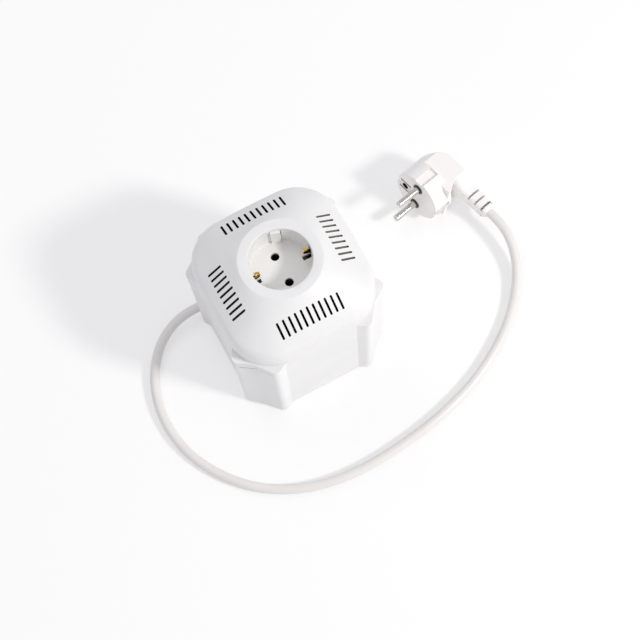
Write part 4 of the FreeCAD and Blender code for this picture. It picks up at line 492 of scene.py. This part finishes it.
# The plug's moulding: a soft white body, moulded at a right angle to the lead round
# the pins. At the end away from the lead it follows its round front, and its back
# slopes down there, so it is trimmed by a rounded, sloping block.
plug_white = moulded("soft_white_plug", (0.905, 0.885, 0.865), (0.925, 0.905, 0.885), 0.34, 0.46,
                     grain=2200.0, depth=0.000010)
pin_way = Vector((-0.95697, -0.25463, 0.13917)).normalized()
earth_way = Vector((-0.25713, 0.96638, 0.0)).normalized()
line_way = earth_way.cross(pin_way)
lead_to_pins = 0.041
lead_to_face = 0.0286
plug_seat = Matrix((line_way, earth_way, pin_way)).transposed().to_4x4()
plug_seat.translation = Vector(lead_route[-1]) + lead_to_pins * earth_way + lead_to_face * pin_way
plug_home = plug_seat.inverted()
plug_turn = plug_seat.to_3x3()

plug_body = softened("plug_body", "plug_moulding", plug_white, edge=0.0)
front_radius = 0.0184
block_back, block_front = -0.045, 0.030
block_foot = -0.06
round_steps = 32
outline = [(front_radius * math.cos(step * math.pi / round_steps),
            front_radius * math.sin(step * math.pi / round_steps)) for step in range(round_steps + 1)]
outline += [(-front_radius, block_foot), (front_radius, block_foot)]
ring = len(outline)
block_points = [plug_seat @ Vector((x, y, z)) for z in (block_back, block_front) for x, y in outline]
block_ends = [tuple(range(ring))[::-1], tuple(range(ring, 2 * ring))]
block_sides = [(here, (here + 1) % ring, ring + (here + 1) % ring, ring + here) for here in range(ring)]
round_end = bpy.data.meshes.new("round_end")
round_end.from_pydata(block_points, [], block_ends + block_sides)
back_slope = (Vector((0.0, 1.0, -1.0)).normalized(), 0.0262)
back_wall = (Vector((0.0, 0.0, -1.0)), 0.0325)
block = bmesh.new()
block.from_mesh(round_end)
for way, reach in (back_slope, back_wall):
    open_edges = cut_across(block, plug_seat @ (way * reach), plug_turn @ way, clear=True)
    bmesh.ops.contextual_create(block, geom=open_edges)
bmesh.ops.recalc_face_normals(block, faces=block.faces[:])
block.to_mesh(round_end)
block.free()
round_block = bpy.data.objects.new("round_end", round_end)
bpy.context.scene.collection.objects.link(round_block)
trim = plug_body.modifiers.new("round_end", "BOOLEAN")
trim.operation = "INTERSECT"
trim.object = round_block
bpy.context.view_layer.update()
moulding = bpy.data.meshes.new_from_object(plug_body.evaluated_get(bpy.context.evaluated_depsgraph_get()))
plug_body.modifiers.clear()
plug_body.data = moulding
moulding.materials.clear()
moulding.materials.append(plug_white)
moulding.shade_smooth()
moulding.set_sharp_from_angle(angle=crease)
bpy.data.objects.remove(round_block)
plug_edge = plug_body.modifiers.new("edge", "BEVEL")
plug_edge.width = 0.0009
plug_edge.segments = 3
plug_edge.limit_method = "ANGLE"
plug_edge.angle_limit = math.radians(35.0)

# The strain relief: a tapered sleeve of the same soft white round the end of the
# lead, with three slots on each side that let it bend. It swells where it leaves the
# moulding and is squarish across, and its slots lie towards the lead.
strain_relief = softened("plug_strain_relief", "plug_relief", plug_white, edge=0.0003)
relief_start = 0.012
slice_step, slices = 0.0008, 12
square_limit, square_power = 1.22, 0.75
swell_length, swell_share, swell_power = 0.0095, 1.05, 1.4
slots_shift = 0.0034
slots_as_cut, slots_as_moved = (0.0092, 0.0235), (0.0122, 0.0270)
slot_floor = 0.0036


def sliced(form, places, axis):
    """Cuts a form across, square to one of the plug's axes, so that it can be shaped between the cuts."""
    for place in places:
        across = Vector((0.0, 0.0, 0.0))
        across[axis] = 1.0
        cut_across(form, plug_seat @ (across * place), plug_turn @ across)


neck = bmesh.new()
neck.from_mesh(strain_relief.data)
sliced(neck, [-relief_start - 0.0001 - slice_step * step for step in range(slices)], axis=1)
for point in neck.verts:
    side, along, high = plug_home @ point.co
    out = -along - relief_start
    high += lead_to_face
    reach = math.hypot(side, high)
    if reach > 0.0001:
        square = min(reach / max(abs(side), abs(high)), square_limit) ** square_power
        side, high = side * square, high * square
    swell = max(0.0, 1.0 - out / swell_length) ** swell_power
    side *= 1.0 + swell_share * swell
    if slots_as_cut[0] < out < slots_as_cut[1]:
        along -= slots_shift
    point.co = plug_seat @ Vector((side, along, high - lead_to_face))
for face in neck.faces:
    face.normal_update()
    side, along, high = plug_home @ face.calc_center_median()
    slot_wall = abs(face.normal.dot(earth_way)) > 0.8
    slot_bottom = abs(face.normal.dot(line_way)) > 0.9 and abs(side) < slot_floor
    if slots_as_moved[0] < -along - relief_start < slots_as_moved[1] and (slot_wall or slot_bottom):
        face.material_index = 1
neck.to_mesh(strain_relief.data)
neck.free()
relief_shade = moulded("relief_slot_in_shade", (0.74, 0.72, 0.69), (0.78, 0.76, 0.73), 0.6, 0.8)
strain_relief.data.materials.append(relief_shade)

# The earth socket: a nickel-plated plate set in the plug's face, with a hole for the
# earth pin of some wall sockets and a slot along each side of the hole, not cut but
# painted near black on the plate's face as painted shade.
nickel = worked_metal("nickel_plate", (0.62, 0.60, 0.56), (0.76, 0.74, 0.70), 0.14, 0.26,
                      stretch=(6.0, 6.0, 1.0))
earth_plate = softened("plug_earth_socket", "earth_socket_plate", nickel, edge=0.0)
# painted shade: a band on each side of the hole is split off the flat face and painted black to stand in for
# a shaded slot
slot_inner, slot_outer = 0.0033, 0.0044
plate_front = -0.0009
plate = bmesh.new()
plate.from_mesh(earth_plate.data)
sliced(plate, (-slot_outer, -slot_inner, slot_inner, slot_outer), axis=0)
for face in plate.faces:
    side, along, out = plug_home @ face.calc_center_median()
    if slot_inner < abs(side) < slot_outer and out > plate_front:
        face.material_index = 1
plate.to_mesh(earth_plate.data)
plate.free()
earth_plate.data.materials.append(black_moulding_and_painted_slot_shade)

# The pins and the earth strips: two round, nickel-plated pins with dark insulating
# collars at their roots, and satin strips at the plug's sides for the sprung contacts
# of a wall socket. The moulding holds them.
satin_nickel = worked_metal("satin_nickel_strip", (0.80, 0.785, 0.76), (0.87, 0.855, 0.83), 0.42, 0.55,
                            stretch=(6.0, 6.0, 1.0))
plug_pieces = [
    plug_body, strain_relief, earth_plate,
    softened("plug_pin_1", "upper_pin", nickel, edge=0.0),
    softened("plug_pin_2", "lower_pin", nickel, edge=0.0),
    softened("plug_collars", "pin_collars", black_moulding_and_painted_slot_shade, edge=0.0001),
    softened("plug_earth_clips", "earth_strips", satin_nickel, edge=0.0001),
]
